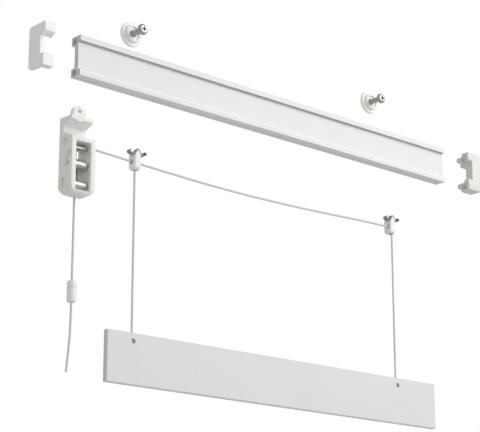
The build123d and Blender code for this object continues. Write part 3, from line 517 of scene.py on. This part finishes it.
def rolled_thread_tree():
    """A threaded shank: a sheet rolled into a rod along Y, its radius following a helical crest
    and running out to a point."""
    tree = bpy.data.node_groups.new("rolled_thread", "GeometryNodeTree")
    for name in ("Length", "Core Radius", "Crest Radius", "Pitch", "Tip Length"):
        tree.interface.new_socket(name, in_out="INPUT", socket_type="NodeSocketFloat")
    tree.interface.new_socket("Place", in_out="INPUT", socket_type="NodeSocketVector")
    tree.interface.new_socket("Steel", in_out="INPUT", socket_type="NodeSocketMaterial")
    tree.interface.new_socket("Geometry", in_out="OUTPUT", socket_type="NodeSocketGeometry")
    given = add(tree, "NodeGroupInput").outputs
    sheet = add(tree, "GeometryNodeMeshGrid", [
        ("Size X", 1.0), ("Size Y", 1.0), ("Vertices X", SHANK_POINTS_AROUND),
        ("Vertices Y", SHANK_POINTS_ALONG)])
    spot = add(tree, "ShaderNodeSeparateXYZ", [("Vector", add(tree, "GeometryNodeInputPosition"))])
    turn = add(tree, "ShaderNodeMath", [(0, spot.outputs["X"]), (1, 0.5)], operation="ADD")
    share = add(tree, "ShaderNodeMath", [(0, spot.outputs["Y"]), (1, 0.5)], operation="ADD")
    reach = add(tree, "ShaderNodeMath", [(0, share), (1, given["Length"])], operation="MULTIPLY")
    # The crest: 1 on its line, falling to 0 over its share of the pitch.
    turns = add(tree, "ShaderNodeMath", [(0, reach), (1, given["Pitch"])], operation="DIVIDE")
    ahead = add(tree, "ShaderNodeMath", [(0, turns), (1, turn)], operation="SUBTRACT")
    phase = add(tree, "ShaderNodeMath", [(0, ahead)], operation="FRACT")
    centred = add(tree, "ShaderNodeMath", [(0, phase), (1, 2.0), (2, -1.0)],
                  operation="MULTIPLY_ADD")
    off_crest = add(tree, "ShaderNodeMath", [(0, centred)], operation="ABSOLUTE")
    fall = add(tree, "ShaderNodeMath", [(0, off_crest), (1, CREST_SHARE)], operation="DIVIDE")
    left_over = add(tree, "ShaderNodeMath", [(0, 1.0), (1, fall)], operation="SUBTRACT")
    crest = add(tree, "ShaderNodeMath", [(0, left_over), (1, 0.0)], operation="MAXIMUM")
    height = add(tree, "ShaderNodeMath", [
        (0, given["Crest Radius"]), (1, given["Core Radius"])], operation="SUBTRACT")
    rise = add(tree, "ShaderNodeMath", [(0, crest), (1, height)], operation="MULTIPLY")
    # The ends: a point over the tip's length, and a closed top inside the head.
    to_go = add(tree, "ShaderNodeMath", [(0, given["Length"]), (1, reach)], operation="SUBTRACT")
    taper = add(tree, "ShaderNodeMath", [(0, to_go), (1, given["Tip Length"])],
                operation="DIVIDE")
    run_out = add(tree, "ShaderNodeMath", [(0, taper), (1, 1.0)], operation="MINIMUM")
    opening = add(tree, "ShaderNodeMath", [(0, share), (1, HEAD_RUN_IN)], operation="MULTIPLY")
    run_in = add(tree, "ShaderNodeMath", [(0, opening), (1, 1.0)], operation="MINIMUM")
    full = add(tree, "ShaderNodeMath", [(0, given["Core Radius"]), (1, rise)], operation="ADD")
    pointed = add(tree, "ShaderNodeMath", [(0, full), (1, run_out)], operation="MULTIPLY")
    radius = add(tree, "ShaderNodeMath", [(0, pointed), (1, run_in)], operation="MULTIPLY")
    angle = add(tree, "ShaderNodeMath", [(0, turn), (1, 2 * math.pi)], operation="MULTIPLY")
    cosine = add(tree, "ShaderNodeMath", [(0, angle)], operation="COSINE")
    sine = add(tree, "ShaderNodeMath", [(0, angle)], operation="SINE")
    across = add(tree, "ShaderNodeMath", [(0, radius), (1, cosine)], operation="MULTIPLY")
    upward = add(tree, "ShaderNodeMath", [(0, radius), (1, sine)], operation="MULTIPLY")
    rolled = add(tree, "ShaderNodeCombineXYZ", [("X", across), ("Y", reach), ("Z", upward)])
    placed = add(tree, "ShaderNodeVectorMath", [(0, rolled), (1, given["Place"])],
                 operation="ADD")
    rod = add(tree, "GeometryNodeSetPosition", [("Geometry", sheet), ("Position", placed)])
    joined = add(tree, "GeometryNodeMergeByDistance", [
        ("Geometry", rod), ("Distance", JOIN_MM * MM)])
    real = add(tree, "GeometryNodeRealizeInstances", [("Geometry", joined)])
    steel = add(tree, "GeometryNodeSetMaterial", [
        ("Geometry", real), ("Material", given["Steel"])])
    add(tree, "NodeGroupOutput", [("Geometry", steel)])
    return tree


def from_nodes(tree, name, values, line=None):
    """The plain mesh that a node tree gives for named input values, from an empty or a given line
    mesh."""
    obj = set_out(name, line or bpy.data.meshes.new(name))
    modifier = obj.modifiers.new("nodes", "NODES")
    modifier.node_group = tree
    for socket in tree.interface.items_tree:
        if socket.in_out == "INPUT" and socket.name in values:
            modifier[socket.identifier] = values[socket.name]
    return evaluated_mesh(obj)


def outward(mesh):
    """Turns every face of a closed mesh to point outwards."""
    shape = bmesh.new()
    shape.from_mesh(mesh)
    bmesh.ops.recalc_face_normals(shape, faces=shape.faces)
    shape.to_mesh(mesh)
    shape.free()
    return mesh


def zinc_plated_steel():
    """Zinc plate on steel: a bright grey that is a little warm, with cloudy gloss and fine
    handling marks. Painted shade darkens the slot towards its bottom, as slot_depth on the mesh
    tells."""
    material, tree, shader, place = bare_material("zinc_plated_screw")
    clouds = add(tree, "ShaderNodeTexNoise", [
        ("Vector", place), ("Scale", 1 / (ZINC_CLOUDS_MM * MM)), ("Detail", 4.0)])
    plate = add(tree, "ShaderNodeMix", [
        ("Factor", clouds.outputs["Fac"]), ("A", linear(ZINC_LIGHT)), ("B", linear(ZINC_SHADE))],
        data_type="RGBA")
    # Painted shade in the slot, deepest at its bottom.
    slot_depth = add(tree, "ShaderNodeAttribute", attribute_name="slot_depth")
    colour = add(tree, "ShaderNodeMix", [
        ("Factor", slot_depth.outputs["Fac"]), ("A", plate.outputs["Result"]),
        ("B", linear(SLOT_PAINTED_SHADE))], data_type="RGBA")
    gloss = add(tree, "ShaderNodeMapRange", [
        ("Value", clouds.outputs["Fac"]), ("To Min", 0.22), ("To Max", 0.42)])
    bump = add(tree, "ShaderNodeBump", [
        ("Height", clouds.outputs["Fac"]), ("Strength", 0.15), ("Distance", ZINC_RELIEF_MM * MM)])
    feed(tree, shader, [
        ("Base Color", colour.outputs["Result"]), ("Roughness", gloss), ("Normal", bump),
        ("Metallic", 0.9)])
    return material


def slotted_head(x, z):
    """A pan head with a cross slot punched into it."""
    head = set_out("head", turned("head", SCREW_HEAD_PROFILE_MM, (x, SCREW_SEAT_Y_MM, z), "Y"))
    punches = []
    for wide, high in ((SLOT_SPAN_MM, SLOT_WIDTH_MM), (SLOT_WIDTH_MM, SLOT_SPAN_MM)):
        punch = bmesh.new()
        bmesh.ops.create_cube(punch, size=1.0)
        for vert in punch.verts:
            taper = SLOT_TAPER if vert.co.y > 0 else 1.0
            wide_here = wide * (taper if wide > high else 1.0)
            high_here = high * (taper if high > wide else 1.0)
            reach = SLOT_DEPTH_MM if vert.co.y > 0 else -PUNCH_ABOVE_MM
            y = SCREW_SEAT_Y_MM - SCREW_HEAD_MM + reach
            vert.co = Vector((x + vert.co.x * wide_here, y, z + vert.co.z * high_here)) * MM
        mesh = bpy.data.meshes.new("punch")
        punch.to_mesh(mesh)
        punch.free()
        tool = set_out("punch", mesh)
        cut = head.modifiers.new("slot", "BOOLEAN")
        cut.object = tool
        cut.operation = "DIFFERENCE"
        cut.solver = "EXACT"
        punches.append(tool)
    mesh = evaluated_mesh(head)
    for tool in punches:
        bpy.data.objects.remove(tool)
    return mesh


def mark_slot(mesh, x, z):
    """Keeps on each point of a screw how deep in the slot it lies, from 0 on the head's face to 1
    at the bottom."""
    depth = mesh.attributes.new("slot_depth", "FLOAT", "POINT")
    for vert, value in zip(mesh.vertices, depth.data):
        off_centre = math.hypot(vert.co.x / MM - x, vert.co.z / MM - z)
        below = vert.co.y / MM - SCREW_SEAT_Y_MM + SCREW_HEAD_MM
        in_reach = off_centre < SLOT_SPAN_MM / 2 + SLOT_MARGIN_MM
        inside = in_reach and SLOT_BRIGHT_MM < below < SLOT_DEPTH_MM + SLOT_MARGIN_MM
        value.value = below / SLOT_DEPTH_MM if inside else 0.0


screw_steel = zinc_plated_steel()
thread_tree = rolled_thread_tree()
for side, (x, z) in DISC_CENTRES_MM.items():
    shank = from_nodes(thread_tree, "shank", {
        "Length": (SCREW_LENGTH_MM + SCREW_SUNK_MM) * MM,
        "Core Radius": SCREW_CORE_MM / 2 * MM,
        "Crest Radius": SCREW_CREST_MM / 2 * MM,
        "Pitch": SCREW_PITCH_MM * MM,
        "Tip Length": SCREW_TIP_MM * MM,
        "Place": (x * MM, (SCREW_SEAT_Y_MM - SCREW_SUNK_MM) * MM, z * MM),
        "Steel": screw_steel,
    })
    whole = bmesh.new()
    whole.from_mesh(outward(shank))
    whole.from_mesh(slotted_head(x, z))
    screw_mesh = bpy.data.meshes.new(f"{side}_screw")
    whole.to_mesh(screw_mesh)
    whole.free()
    mark_slot(screw_mesh, x, z)
    put(f"{side}_zinc_screw", screw_mesh, screw_steel, f"{side}_screw",
        [f"{side}_fixing_screw"], SCREW_SHARP_DEGREES)

# Cord lock. A white moulded housing that hangs under the rail by a hooked head and a screw tab.
# Two turned rollers and a guide pin lead the cord down through its window.
ROLLER_Y_MM = -8.7
ROLLER_Z_MM = {"locking_roller": -69.6, "lower_roller": -82.2}
ROLLER_RADIUS_MM = 2.8
ROLLER_BORE_RADIUS_MM = 1.05
ROLLER_END_GAP_MM = 0.3
ROLLER_PIN_RADIUS_MM = 1.0
GUIDE_PIN_RADIUS_MM = 1.3
GUIDE_PIN_YZ_MM = (-8.9, -59.2)
LOCK_SIDES_MM = (-173.5, -156.3)
WINDOW_SIDES_MM = (-170.5, -159.5)
LOCK_LIGHT = "F2F2EF"
LOCK_SHADE = "EAEAE7"
STEEL_LIGHT = "CFCCC5"
ROLLER_SHADE = "BDBAB3"
PIN_SHADE = "B8B5AE"
TURNED_RING_MM = 0.3125
TURNED_STRETCH = 0.02
TURNED_RELIEF_MM = 0.02
lock_plastic = moulded_plastic(
    "moulded_lock_acetal", LOCK_LIGHT, LOCK_SHADE, roughness=0.34, milky=0.35)
put("moulded_lock_housing", rounded_copy("lock_housing", MOULDED_EDGE_MM), lock_plastic, "root",
    ["lock_housing"])


def ground_steel(name, light, shade_colour, roughness):
    """Ground steel: bright metal with fine rings round the X axis from turning, drawn coarse
    enough to show."""
    material, tree, shader, place = bare_material(name)
    across = add(tree, "ShaderNodeMapping", [
        ("Vector", place), ("Scale", (1.0, TURNED_STRETCH, TURNED_STRETCH))])
    rings = add(tree, "ShaderNodeTexNoise", [
        ("Vector", across), ("Scale", 1 / (TURNED_RING_MM * MM)), ("Detail", 2.0)])
    colour = add(tree, "ShaderNodeMix", [
        ("Factor", rings.outputs["Fac"]), ("A", linear(light)), ("B", linear(shade_colour))],
        data_type="RGBA")
    gloss = add(tree, "ShaderNodeMapRange", [
        ("Value", rings.outputs["Fac"]), ("To Min", roughness - 0.04),
        ("To Max", roughness + 0.06)])
    bump = add(tree, "ShaderNodeBump", [
        ("Height", rings.outputs["Fac"]), ("Strength", 0.12), ("Distance", TURNED_RELIEF_MM * MM)])
    feed(tree, shader, [
        ("Base Color", colour.outputs["Result"]), ("Roughness", gloss), ("Normal", bump),
        ("Metallic", 0.92)])
    return material


roller_steel = ground_steel("ground_roller_steel", STEEL_LIGHT, ROLLER_SHADE, roughness=0.36)
for node, z in ROLLER_Z_MM.items():
    left, right = WINDOW_SIDES_MM[0] + ROLLER_END_GAP_MM, WINDOW_SIDES_MM[1] - ROLLER_END_GAP_MM
    sleeve = ((left, ROLLER_BORE_RADIUS_MM, 0.1), (left, ROLLER_RADIUS_MM, 0.35),
              (right, ROLLER_RADIUS_MM, 0.35), (right, ROLLER_BORE_RADIUS_MM, 0.1))
    put(f"{node}_sleeve", turned(node, sleeve, (0.0, ROLLER_Y_MM, z), "X"), roller_steel, node,
        [node])

# Each pin's body, radius, place and how far it ends inside the lock's sides.
LOCK_PINS_MM = {
    "lock_guide_pin": ("root", GUIDE_PIN_RADIUS_MM, *GUIDE_PIN_YZ_MM, 1.5),
    "locking_roller_pin": (
        "locking_pin", ROLLER_PIN_RADIUS_MM, ROLLER_Y_MM, ROLLER_Z_MM["locking_roller"], 1.4),
    "lower_roller_pin": (
        "root", ROLLER_PIN_RADIUS_MM, ROLLER_Y_MM, ROLLER_Z_MM["lower_roller"], 1.5),
}
pin_steel = ground_steel("drawn_pin_steel", STEEL_LIGHT, PIN_SHADE, roughness=0.36)
for node, (body, radius, y, z, inset) in LOCK_PINS_MM.items():
    left, right = LOCK_SIDES_MM[0] + inset, LOCK_SIDES_MM[1] - inset
    rod = ((left, 0.0, 0.0), (left, radius, 0.2), (right, radius, 0.2), (right, 0.0, 0.0))
    put(f"{node}_rod", turned(node, rod, (0.0, y, z), "X", around=32), pin_steel, body,
        [node])

# Cord carriers. Two small white moulded guides clipped in the rail's channel by a bent strip
# spring. The running cord passes through each, and a lift cord leaves it downwards.
CARRIER_EDGE_MM = 0.22
SPRING_EDGE_MM = 0.08
SPRING_FORWARD_MM = 0.6
CARRIER_LIGHT = "FAF9F6"
CARRIER_SHADE = "F2F1EE"
STRIP_LIGHT = "A3A19D"
STRIP_SHADE = "85837E"
RUBBED_SPOT_MM = 1.4286
STRIP_RELIEF_MM = 0.02


def tempered_spring_steel():
    """Tempered spring steel strip: dull grey metal with a faint mottled relief, and spots where
    its dark temper film is worn lighter."""
    material, tree, shader, place = bare_material("tempered_spring_strip")
    spot_wear_and_edge_highlight = add(tree, "ShaderNodeTexNoise", [
        ("Vector", place), ("Scale", 1 / (RUBBED_SPOT_MM * MM)), ("Detail", 3.0)])
    colour = add(tree, "ShaderNodeMix", [
        ("Factor", spot_wear_and_edge_highlight.outputs["Fac"]), ("A", linear(STRIP_LIGHT)), ("B", linear(STRIP_SHADE))],
        data_type="RGBA")
    gloss = add(tree, "ShaderNodeMapRange", [
        ("Value", spot_wear_and_edge_highlight.outputs["Fac"]), ("To Min", 0.42), ("To Max", 0.6)])
    bump = add(tree, "ShaderNodeBump", [
        ("Height", spot_wear_and_edge_highlight.outputs["Fac"]), ("Strength", 0.1), ("Distance", STRIP_RELIEF_MM * MM)])
    feed(tree, shader, [
        ("Base Color", colour.outputs["Result"]), ("Roughness", gloss), ("Normal", bump),
        ("Metallic", 0.25)])
    return material


def set_forward(shape):
    """Sets a spring strip forward, so that its edge shows across the front of its carrier."""
    bmesh.ops.translate(shape, vec=(0.0, -SPRING_FORWARD_MM * MM, 0.0), verts=shape.verts)


carrier_plastic = moulded_plastic(
    "moulded_carrier_nylon", CARRIER_LIGHT, CARRIER_SHADE, roughness=0.38)
spring_steel = tempered_spring_steel()
for side in ("left", "right"):
    body_node, spring_node = f"{side}_carrier_body", f"{side}_carrier_spring"
    put(f"{side}_moulded_carrier", rounded_copy(body_node, CARRIER_EDGE_MM), carrier_plastic,
        "root", [body_node])
    put(f"{side}_spring_strip", rounded_copy(spring_node, SPRING_EDGE_MM, set_forward),
        spring_steel, "root", [spring_node])

# Cords. White polyester blind cord, braided from eight yarns round a core, 1.4 mm thick. It runs
# from the lock through both carriers, with a lift cord down from each and the pull cord down from
# the lock.
CORD_DIAMETER_MM = 1.4
BRAID_PITCH_MM = 3.6
YARNS_EACH_WAY = 4
YARN_RISE_MM = 0.09
# The valley colour is painted shade between the yarns; the crown is the yarn's own white.
YARN_VALLEY_PAINTED_SHADE = "BCBCBA"
YARN_CROWN = "EFEFEC"
FIBRE_TINT = 0.16
FIBRE_MM = 0.1923
FIBRE_RELIEF_MM = 0.03
RING_STEP_MM = 0.3
RING_POINTS = 20
CORD_SHARP_DEGREES = 80.0
KNOT_CORD_MM = 0.95
KNOT_REACH_MM = 0.3
KNOT_DEPTH_SHARE = 1.1
KNOT_POINTS = 96


def braided_cord_tree():
    """A braided cord along a line: a tube whose surface rises over yarns that cross in two
    directions. The rise is kept on the mesh as yarn_rise for the material."""
    tree = bpy.data.node_groups.new("braided_cord", "GeometryNodeTree")
    tree.interface.new_socket("Line", in_out="INPUT", socket_type="NodeSocketGeometry")
    for name in ("Cord Diameter", "Braid Pitch", "Yarns Each Way", "Yarn Rise", "Ring Step"):
        tree.interface.new_socket(name, in_out="INPUT", socket_type="NodeSocketFloat")
    tree.interface.new_socket("Yarn", in_out="INPUT", socket_type="NodeSocketMaterial")
    tree.interface.new_socket("Geometry", in_out="OUTPUT", socket_type="NodeSocketGeometry")
    given = add(tree, "NodeGroupInput").outputs
    # The tube, which keeps how far along the cord and how far round it each point lies.
    curve = add(tree, "GeometryNodeMeshToCurve", [("Mesh", given["Line"])])
    even = add(tree, "GeometryNodeResampleCurve", [
        ("Curve", curve), ("Length", given["Ring Step"])], mode="LENGTH")
    along = add(tree, "GeometryNodeCaptureAttribute")
    along.capture_items.new("FLOAT", "along")
    distance = add(tree, "GeometryNodeSplineParameter").outputs["Length"]
    feed(tree, along, [("Geometry", even), ("along", distance)])
    radius = add(tree, "ShaderNodeMath", [(0, given["Cord Diameter"]), (1, 0.5)],
                 operation="MULTIPLY")
    ring = add(tree, "GeometryNodeCurvePrimitiveCircle", [
        ("Resolution", RING_POINTS), ("Radius", radius)])
    turn = add(tree, "GeometryNodeCaptureAttribute")
    turn.capture_items.new("FLOAT", "turn")
    share = add(tree, "GeometryNodeSplineParameter").outputs["Factor"]
    feed(tree, turn, [("Geometry", ring), ("turn", share)])
    tube = add(tree, "GeometryNodeCurveToMesh", [
        ("Curve", along), ("Profile Curve", turn), ("Fill Caps", True)])
    # The yarns: two sets of waves that wind round the cord in opposite directions.
    around = add(tree, "ShaderNodeMath", [
        (0, turn.outputs["turn"]), (1, given["Yarns Each Way"])], operation="MULTIPLY")
    pitches = add(tree, "ShaderNodeMath", [
        (0, along.outputs["along"]), (1, given["Braid Pitch"])], operation="DIVIDE")
    travel = add(tree, "ShaderNodeMath", [(0, pitches), (1, given["Yarns Each Way"])],
                 operation="MULTIPLY")
    hands = []
    for way in ("ADD", "SUBTRACT"):
        winding = add(tree, "ShaderNodeMath", [(0, around), (1, travel)], operation=way)
        angle = add(tree, "ShaderNodeMath", [(0, winding), (1, math.pi)], operation="MULTIPLY")
        wave = add(tree, "ShaderNodeMath", [(0, angle)], operation="SINE")
        hands.append(add(tree, "ShaderNodeMath", [(0, wave)], operation="ABSOLUTE"))
    rise = add(tree, "ShaderNodeMath", list(enumerate(hands)), operation="MAXIMUM")
    below_crown = add(tree, "ShaderNodeMath", [(0, rise), (1, 1.0)], operation="SUBTRACT")
    sunk = add(tree, "ShaderNodeMath", [(0, below_crown), (1, given["Yarn Rise"])],
               operation="MULTIPLY")
    offset = add(tree, "ShaderNodeVectorMath", [
        (0, add(tree, "GeometryNodeInputNormal")), ("Scale", sunk)], operation="SCALE")
    shaped = add(tree, "GeometryNodeSetPosition", [("Geometry", tube), ("Offset", offset)])
    kept = add(tree, "GeometryNodeStoreNamedAttribute", [
        ("Geometry", shaped), ("Name", "yarn_rise"), ("Value", rise)],
        data_type="FLOAT", domain="POINT")
    real = add(tree, "GeometryNodeRealizeInstances", [("Geometry", kept)])
    yarn = add(tree, "GeometryNodeSetMaterial", [("Geometry", real), ("Material", given["Yarn"])])
    add(tree, "NodeGroupOutput", [("Geometry", yarn)])
    return tree


def braided_polyester():
    """Braided polyester: matt off-white yarns with a soft sheen, and painted shade that darkens
    the valleys between them."""
    material, tree, shader, place = bare_material("braided_polyester")
    rise = add(tree, "ShaderNodeAttribute", attribute_name="yarn_rise")
    crown = add(tree, "ShaderNodeMapRange", [
        ("Value", rise.outputs["Fac"]), ("From Min", 0.65), ("From Max", 1.0), ("To Min", 0.0),
        ("To Max", 1.0)])
    fibres = add(tree, "ShaderNodeTexNoise", [
        ("Vector", place), ("Scale", 1 / (FIBRE_MM * MM)), ("Detail", 2.0)])
    tone = add(tree, "ShaderNodeMix", [
        ("Factor", crown), ("A", linear(YARN_VALLEY_PAINTED_SHADE)), ("B", linear(YARN_CROWN))],
        data_type="RGBA")
    colour = add(tree, "ShaderNodeMix", [
        ("Factor", FIBRE_TINT), ("A", tone.outputs["Result"]), ("B", fibres.outputs["Color"])],
        data_type="RGBA", blend_type="SOFT_LIGHT")
    bump = add(tree, "ShaderNodeBump", [
        ("Height", fibres.outputs["Fac"]), ("Strength", 0.2), ("Distance", FIBRE_RELIEF_MM * MM)])
    feed(tree, shader, [
        ("Base Color", colour.outputs["Result"]), ("Normal", bump), ("Roughness", 0.75),
        ("Sheen Weight", 0.25)])
    return material


cord_tree = braided_cord_tree()
cord_yarn = braided_polyester()


def route_line(points_mm):
    """The smooth line through a cord's route: the points of a NURBS spline over its control
    points."""
    data = bpy.data.curves.new("route", "CURVE")
    data.dimensions = "3D"
    data.resolution_u = 16
    spline = data.splines.new("NURBS")
    spline.points.add(len(points_mm) - 1)
    for point, place in zip(spline.points, points_mm):
        point.co = [c * MM for c in place] + [1.0]
    spline.order_u = 3
    spline.use_endpoint_u = True
    return evaluated_mesh(set_out("route", data))


def braided(name, line, diameter_mm=CORD_DIAMETER_MM):
    """The cord's mesh along a line."""
    return outward(from_nodes(cord_tree, name, {
        "Cord Diameter": diameter_mm * MM,
        "Braid Pitch": BRAID_PITCH_MM * MM,
        "Yarns Each Way": float(YARNS_EACH_WAY),
        "Yarn Rise": YARN_RISE_MM * MM,
        "Ring Step": RING_STEP_MM * MM,
        "Yarn": cord_yarn,
    }, line))


def cord_piece(node, points_mm, body):
    """A braided cord over its control points, in place of its CAD solid, and the path that it
    follows."""
    line = route_line(points_mm)
    path = [tuple(vert.co) for vert in line.vertices]
    piece = put(f"{node}_braid", braided(node, line), cord_yarn, body, [node],
                CORD_SHARP_DEGREES)
    return piece, path


def tight_knot(name, centre_mm, body):
    """A tight overhand knot: the same cord, squeezed thinner, along a small trefoil loop."""
    x, y, z = (c * MM for c in centre_mm)
    reach = KNOT_REACH_MM * MM
    turns = [2 * math.pi * k / KNOT_POINTS for k in range(KNOT_POINTS)]
    loop = bpy.data.meshes.new(f"{name}_loop")
    loop.from_pydata([(
        x + reach * (math.sin(t) + 2 * math.sin(2 * t)),
        y - reach * KNOT_DEPTH_SHARE * math.sin(3 * t),
        z + reach * (math.cos(t) - 2 * math.cos(2 * t)),
    ) for t in turns], [(k, (k + 1) % KNOT_POINTS) for k in range(KNOT_POINTS)], [])
    return put(f"{name}_loops", braided(name, loop, KNOT_CORD_MM), cord_yarn, body, [name],
               CORD_SHARP_DEGREES)


KNOT_Z_MM = -169.05
LIFT_CORD_FOOT_MM = -167.65
CARRIER_CORD_Y_MM = -4.6
LEFT_TURN_MM = (-119.4, CARRIER_CORD_Y_MM, -57.5)
RIGHT_TURN_MM = (111.4, CARRIER_CORD_Y_MM, -56.5)
RIGHT_EXIT_MM = (111.4, CARRIER_CORD_Y_MM, -59.7)
PULL_XY_MM = (-163.8, -4.0)
LOCK_EXIT_Z_MM = -89.2
for side, (x, y, top) in (("left", LEFT_TURN_MM), ("right", RIGHT_EXIT_MM)):
    node = f"{side}_lift_cord"
    middle = (top + LIFT_CORD_FOOT_MM) / 2
    cord, path = cord_piece(node, [(x, y, top), (x, y, middle), (x, y, LIFT_CORD_FOOT_MM)], "root")
    knot = tight_knot(f"{side}_cord_knot", (x, y, KNOT_Z_MM), "lift_bar")
    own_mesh(cord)

lock_cord, path = cord_piece("lock_cord", [
    (*PULL_XY_MM, LOCK_EXIT_Z_MM), (*PULL_XY_MM, -64.0), (*PULL_XY_MM, -55.3),
    (LOCK_SIDES_MM[1], -4.5, -55.6), LEFT_TURN_MM,
], "root")
SPAN_SAG_MM = ((-92.0, -58.6), (-50.0, -59.95), (-6.0, -59.9), (38.0, -58.9), (78.0, -57.2),
               (103.0, -56.68))
span_cord, path = cord_piece("span_cord", [
    LEFT_TURN_MM, *((x, CARRIER_CORD_Y_MM, z) for x, z in SPAN_SAG_MM), RIGHT_TURN_MM,
    RIGHT_EXIT_MM,
], "root")

# Cord connector. A two-part white moulded barrel that snaps together over the knot joining the
# pull cord to its tail. The tail hangs free below it, cut off plain.
CONNECTOR_SHELLS_MM = {
    "connector_upper": (
        (-143.35, 2.35, 0.05), (-143.35, 2.85, 0.12), (-139.1, 2.85, 2.3), (-139.1, 0.95, 0.3),
        (-141.2, 0.95, 0.1), (-141.2, 2.35, 0.1),
    ),
    "connector_lower": (
        (-152.0, 0.9, 0.25), (-152.0, 2.85, 2.3), (-143.45, 2.85, 0.12), (-143.45, 2.3, 0.05),
        (-141.4, 2.3, 0.15), (-141.4, 1.7, 0.1), (-144.4, 1.7, 0.1), (-144.4, 0.9, 0.1),
    ),
}
CONNECTOR_KNOT_Z_MM = -142.95
CONNECTOR_LIGHT = "F8F8F6"
CONNECTOR_SHADE = "F0F0EE"
SHELL_SHARP_DEGREES = 40.0
connector_plastic = moulded_plastic(
    "moulded_connector_abs", CONNECTOR_LIGHT, CONNECTOR_SHADE, roughness=0.3)
for node, profile in CONNECTOR_SHELLS_MM.items():
    shell = turned(node, profile, (*PULL_XY_MM, 0.0), "Z")
    put(f"{node}_shell", shell, connector_plastic, "pull_end", [node],
                      SHELL_SHARP_DEGREES)
connector_knot = tight_knot("connector_knot", (*PULL_XY_MM, CONNECTOR_KNOT_Z_MM), "pull_end")

pull_cord, path = cord_piece("pull_cord", [
    (*PULL_XY_MM, LOCK_EXIT_Z_MM), (*PULL_XY_MM, -116.0), (*PULL_XY_MM, -141.55)], None)
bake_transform(pull_cord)
tail_cord, path = cord_piece("tail_cord", [
    (*PULL_XY_MM, -144.35), (*PULL_XY_MM, -166.1), (-164.7, -4.0, -179.6),
    (-166.1, -4.0, -193.1)], "pull_end")

# Bottom bar. A flat white bar that weights the blind's hem, sawn from powder-coated aluminium
# strip. A hole near each end takes the knot of a lift cord.
BAR_LIGHT = "E6E6E5"
BAR_SHADE = "DFDFDE"
BAR_SAWN = "D0D0CE"


def recoat(node, material):
    """Gives a CAD node that keeps its own shape a new finish."""
    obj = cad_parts[node]
    for slot in obj.material_slots:
        slot.material = material
    if not obj.material_slots:
        obj.data.materials.append(material)


recoat("bottom_bar",
       powder_coated_aluminium("powder_coated_bar", BAR_LIGHT, BAR_SHADE, BAR_SAWN))
